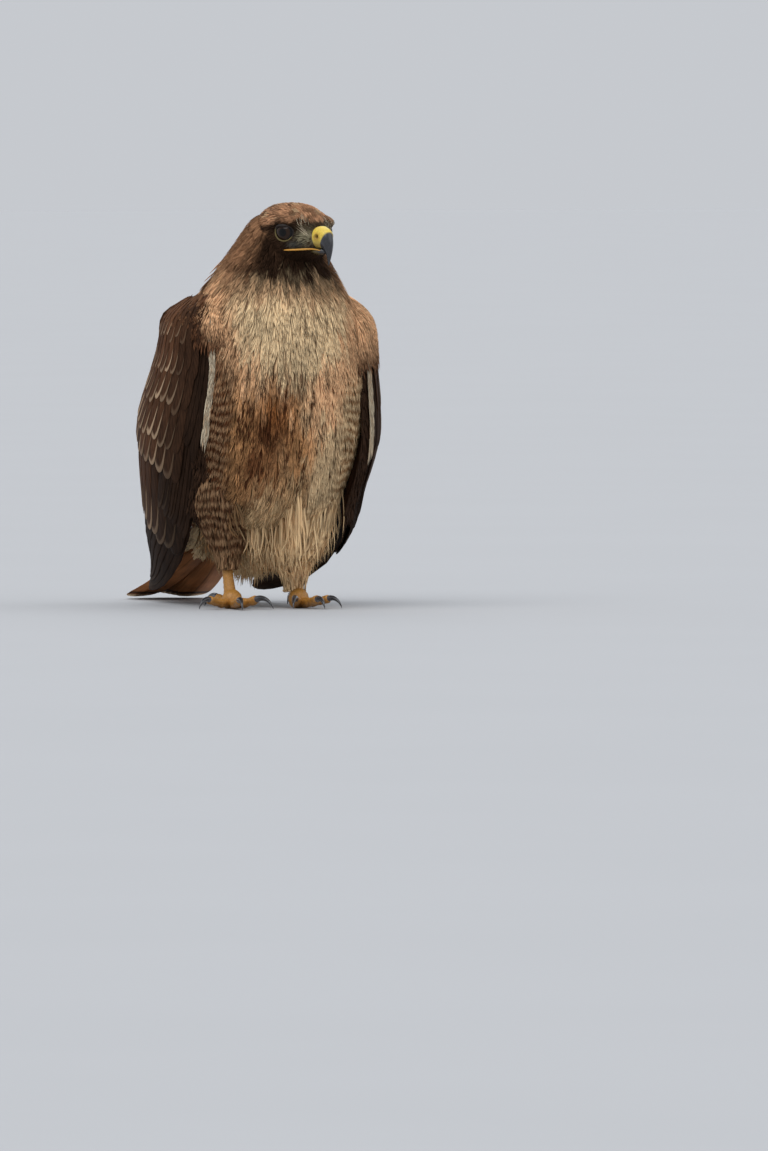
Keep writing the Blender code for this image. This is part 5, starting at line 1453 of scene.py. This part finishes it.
class HAWK_OT_feet(bpy.types.Operator):
    """Scaly shanks and toes with pads below, and the curved claws"""
    bl_idname = "hawk.feet"
    bl_label = "Feet"

    def execute(self, context):
        scales = material("leg_scales", bare, 0.45, 800.0, 0.22, 0.5)
        horn = material("horn", bare, 0.24, 420.0, 0.25, 0.25)
        for side, sign in SIDES.items():
            parts = [self.sole(sign)]
            for name, (length, thick, claw) in TOES.items():
                yaw = math.radians(TOE_SPREAD[sign][name]) * sign
                grid, tint, path, end = self.toe(sign, yaw, length * MM, thick * MM)
                parts.append(shell(grid, tint))
                put(f"talon_{side}_{name}", [self.claw(path, end, yaw, claw * MM)], horn,
                    (f"claw_{side}_{name}",))
            put("toes_" + side, parts, scales, ("foot_" + side,))
            put("shank_" + side, [self.shin(sign)], scales, ("tarsus_" + side,))
        return {"FINISHED"}

    def scute(self, along, pitch):
        """A plate's profile: it rises slowly and drops steeply at its free end."""
        t = np.mod(along / pitch, 1.0)
        return t**0.6 * (1 - ease(t, 0.86, 1.0))

    def toe(self, sign, yaw, length, thick):
        """A tube along the floor with plates on top and rounded pads below."""
        s = np.linspace(0, 1, 90)
        reach = length * s
        up = (4.7 + 4.4 * s**3) * MM
        path = world(FOOT_SIDE[sign] + math.sin(yaw) * reach, math.cos(yaw) * reach, up)
        angle = 2 * math.pi * np.arange(32) / 32
        top = ease(np.sin(angle), 0.05, 0.5)[None]
        knuckle = 0.35 * MM * np.cos(s * 4.5 * math.pi)
        radius = (thick + knuckle)[:, None] * (1 - 0.22 * s)[:, None]
        radius = radius * (1 + 0.085 * top * self.scute(s * length, 0.0030)[:, None] - 0.03)
        pads = 0.07 * (1 - top) * np.cos(s * length / 0.0085 * 2 * math.pi)[:, None]
        radius = radius * (1 + pads)
        # The end is rounded off under the claw's root.
        radius = radius * np.sqrt(np.clip(1 - np.clip((s - 0.955) / 0.045, 0, 1) ** 2 * 0.8, 0.05, 1))[:, None]
        grid = tube(path, radius, 32)
        grid[..., 2] = np.maximum(grid[..., 2], 0)
        # The mask below is 1 on the toe's lower half and where each plate sinks to the next, which are painted darker:
        # painted shade under the toe and in the seams.
        seam_and_underside_shade = 1 - self.scute(s * length, 0.0030)[:, None] * top
        tint = mix(colour("legs"), colour("legs") * (0.42, 0.36, 0.30), 0.55 * seam_and_underside_shade + 0 * radius)
        return grid, tint, path, thick * 0.78

    def claw(self, toe, thick, yaw, length):
        """A tapering horn that leaves the toe along its line and turns down to the floor."""
        path_end = toe[-1]
        steps = 40
        s = np.linspace(0, 1, steps)
        run = unit(toe[-1] - toe[-6])
        pitch = math.asin(run[2]) - CLAW_TURN * (s[1:] + s[:-1]) / 2
        way = np.array([math.sin(yaw), -math.cos(yaw), 0])
        moves = (np.cos(pitch)[:, None] * way + np.sin(pitch)[:, None] * [0, 0, 1]) * length / (steps - 1)
        path = np.concatenate([[[0, 0, 0]], np.cumsum(moves, axis=0)]) + path_end - run * 0.0012
        path[:, 2] += s**1.6 * (0.0011 - path[-1, 2])
        radius = thick * (0.84 - 0.76 * s**1.15)
        tint = mix(colour("horn") * 3.4, colour("horn"), ease(s, 0.0, 0.35))[:, None] * np.ones((1, 20, 1))
        return shell(tube(path, radius[:, None], 20), tint)

    def sole(self, sign):
        """The pad under the shank: an oval ball, flat on the floor, with an instep."""
        theta, phi = np.meshgrid(np.linspace(0.02, math.pi - 0.02, 30), np.linspace(0, 2 * math.pi, 41)[:-1], indexing="ij")
        radius = 0.0090 * (1 + 0.03 * np.cos(9 * theta) * np.cos(11 * phi))
        grid = world(FOOT_SIDE[sign] + radius * np.sin(theta) * np.cos(phi), radius * np.sin(theta) * np.sin(phi),
                     0.0076 + radius * np.cos(theta) * 1.05)
        grid[..., 2] = np.maximum(grid[..., 2], 0)
        return shell(grid, colour("legs") * 0.85)

    def shin(self, sign):
        """The shank: broad plates down its front, small scales behind."""
        up = np.linspace(0.008, TARSUS_TOP, 150)
        x, forward, radius = shank(sign, up)
        path = world(x, forward, up)
        angle = 2 * math.pi * np.arange(40) / 40
        front = ease(np.sin(angle), -0.15, 0.3)[None]
        plates = self.scute(TARSUS_TOP - up, 0.0042)[:, None] * front
        small = 0.018 * (1 - front) * np.cos(up[:, None] / 0.0022 * 2 * math.pi) * np.cos(angle[None] * 9)
        grid = tube(path, radius[:, None] * (0.97 + 0.10 * plates + small), 40)
        # Darker where each front plate sinks to the next and lighter on its crest: painted shade in the seams.
        tint = mix(colour("legs") * (0.42, 0.36, 0.30), colour("legs"), np.clip(0.45 + 0.6 * plates + 0.3 * (1 - front), 0, 1))
        return shell(grid, tint)


class HAWK_OT_stage(bpy.types.Operator):
    """Plain pale floor and background, soft light and the camera"""
    bl_idname = "hawk.stage"
    bl_label = "Stage"

    def execute(self, context):
        scene = context.scene
        pale = colour("studio")
        mesh = bpy.data.meshes.new("floor")
        reach = 40.0
        mesh.from_pydata([(-reach, -reach, 0), (reach, -reach, 0), (reach, reach, 0), (-reach, reach, 0)],
                         [], [(0, 1, 2, 3)])
        finish, tree, shader = new_material("studio_floor", Roughness=0.9, Specular_IOR_Level=0.1)
        place = node(tree, "ShaderNodeTexCoord")
        cloud = node(tree, "ShaderNodeTexNoise", {"Vector": place.outputs["Object"], "Scale": 3.0})
        bright = mapped(tree, cloud.outputs[0], 0.3, 0.7, 0.995, 1.005)
        grey = node(tree, "ShaderNodeCombineColor", {0: bright, 1: bright, 2: bright})
        tree.links.new(blend(tree, "MULTIPLY", 1.0, (*colour("floor"), 1), grey.outputs[0]),
                       shader.inputs["Base Color"])
        mesh.materials.append(finish)
        floor = bpy.data.objects.new("floor", mesh)
        scene.collection.objects.link(floor)
        sky = bpy.data.worlds.new("studio")
        sky.use_nodes = True
        sky.node_tree.nodes["Background"].inputs["Color"].default_value = (*pale, 1)
        scene.world = sky
        for name, azimuth, rise, power, spread in self.LAMPS:
            lamp = bpy.data.lights.new(name, "SUN")
            lamp.energy = power
            lamp.angle = math.radians(spread)
            held = bpy.data.objects.new(name, lamp)
            self.aim(held, azimuth, rise)
            scene.collection.objects.link(held)
        self.camera(scene)
        scene.view_settings.view_transform = "Standard"
        return {"FINISHED"}

    # Name, azimuth and rise in degrees, power, and how wide its disc is.
    LAMPS = [("key", -50, 55, 1.5, 50), ("fill", 55, 40, 0.52, 60), ("rim", 160, 50, 0.5, 50)]
    def aim(self, held, azimuth, rise):
        a, e = math.radians(azimuth), math.radians(rise)
        back = Vector((math.sin(a) * math.cos(e), -math.cos(a) * math.cos(e), math.sin(e)))
        held.rotation_mode = "QUATERNION"
        held.rotation_quaternion = (-back).to_track_quat("-Z", "Y")
        return back

    def camera(self, scene):
        data = bpy.data.cameras.new("camera")
        held = bpy.data.objects.new("camera", data)
        scene.collection.objects.link(held)
        back = self.aim(held, CAMERA_AZIMUTH, CAMERA_RISE)
        right = held.rotation_quaternion @ Vector((1, 0, 0))
        up = held.rotation_quaternion @ Vector((0, 1, 0))
        feet = Vector((MIDDLE_X, -FEET_FORWARD, 0))
        aim = feet + right * (FRAME_SIZE[0] / 2 - FEET_PIXEL[0]) * PIXEL
        aim += up * (FEET_PIXEL[1] - FRAME_SIZE[1] / 2) * PIXEL
        held.location = aim + back * CAMERA_DISTANCE
        data.sensor_width = 36
        data.lens = data.sensor_width / 2 * CAMERA_DISTANCE / (FRAME_SIZE[1] / 2 * PIXEL)
        data.clip_start, data.clip_end = 0.1, 120
        scene.camera = held


# ------------------------------------------------------------------ panel and main

STEPS = (HAWK_OT_skin, HAWK_OT_body, HAWK_OT_mantle, HAWK_OT_head_coat, HAWK_OT_wings, HAWK_OT_tail,
         HAWK_OT_trousers, HAWK_OT_eyes, HAWK_OT_bill, HAWK_OT_feet, HAWK_OT_stage)


class HAWK_PT_panel(bpy.types.Panel):
    """Lists the pieces of the hawk with their sizes and colours"""
    bl_label = "Red-tailed hawk"
    bl_idname = "HAWK_PT_panel"
    bl_space_type = "VIEW_3D"
    bl_region_type = "UI"
    bl_category = "Hawk"

    def draw(self, context):
        for group in (context.scene.hawk_sizes, context.scene.hawk_colours):
            box = self.layout.box()
            for name in group.__annotations__:
                box.prop(group, name)
        for step in STEPS:
            self.layout.operator(step.bl_idname)


CLASSES = (HawkSizes, HawkColours, *STEPS, HAWK_PT_panel)


def register():
    for kind in CLASSES:
        bpy.utils.register_class(kind)
    bpy.types.Scene.hawk_sizes = bpy.props.PointerProperty(type=HawkSizes)
    bpy.types.Scene.hawk_colours = bpy.props.PointerProperty(type=HawkColours)


def unregister():
    del bpy.types.Scene.hawk_colours
    del bpy.types.Scene.hawk_sizes
    for kind in reversed(CLASSES):
        bpy.utils.unregister_class(kind)


def main():
    register()
    bpy.ops.hawk.skin()
    bpy.ops.hawk.body()
    bpy.ops.hawk.mantle()
    bpy.ops.hawk.head_coat()
    bpy.ops.hawk.wings()
    bpy.ops.hawk.tail()
    bpy.ops.hawk.trousers()
    bpy.ops.hawk.eyes()
    bpy.ops.hawk.bill()
    bpy.ops.hawk.feet()
    bpy.ops.hawk.stage()


if __name__ == "__main__":
    main()
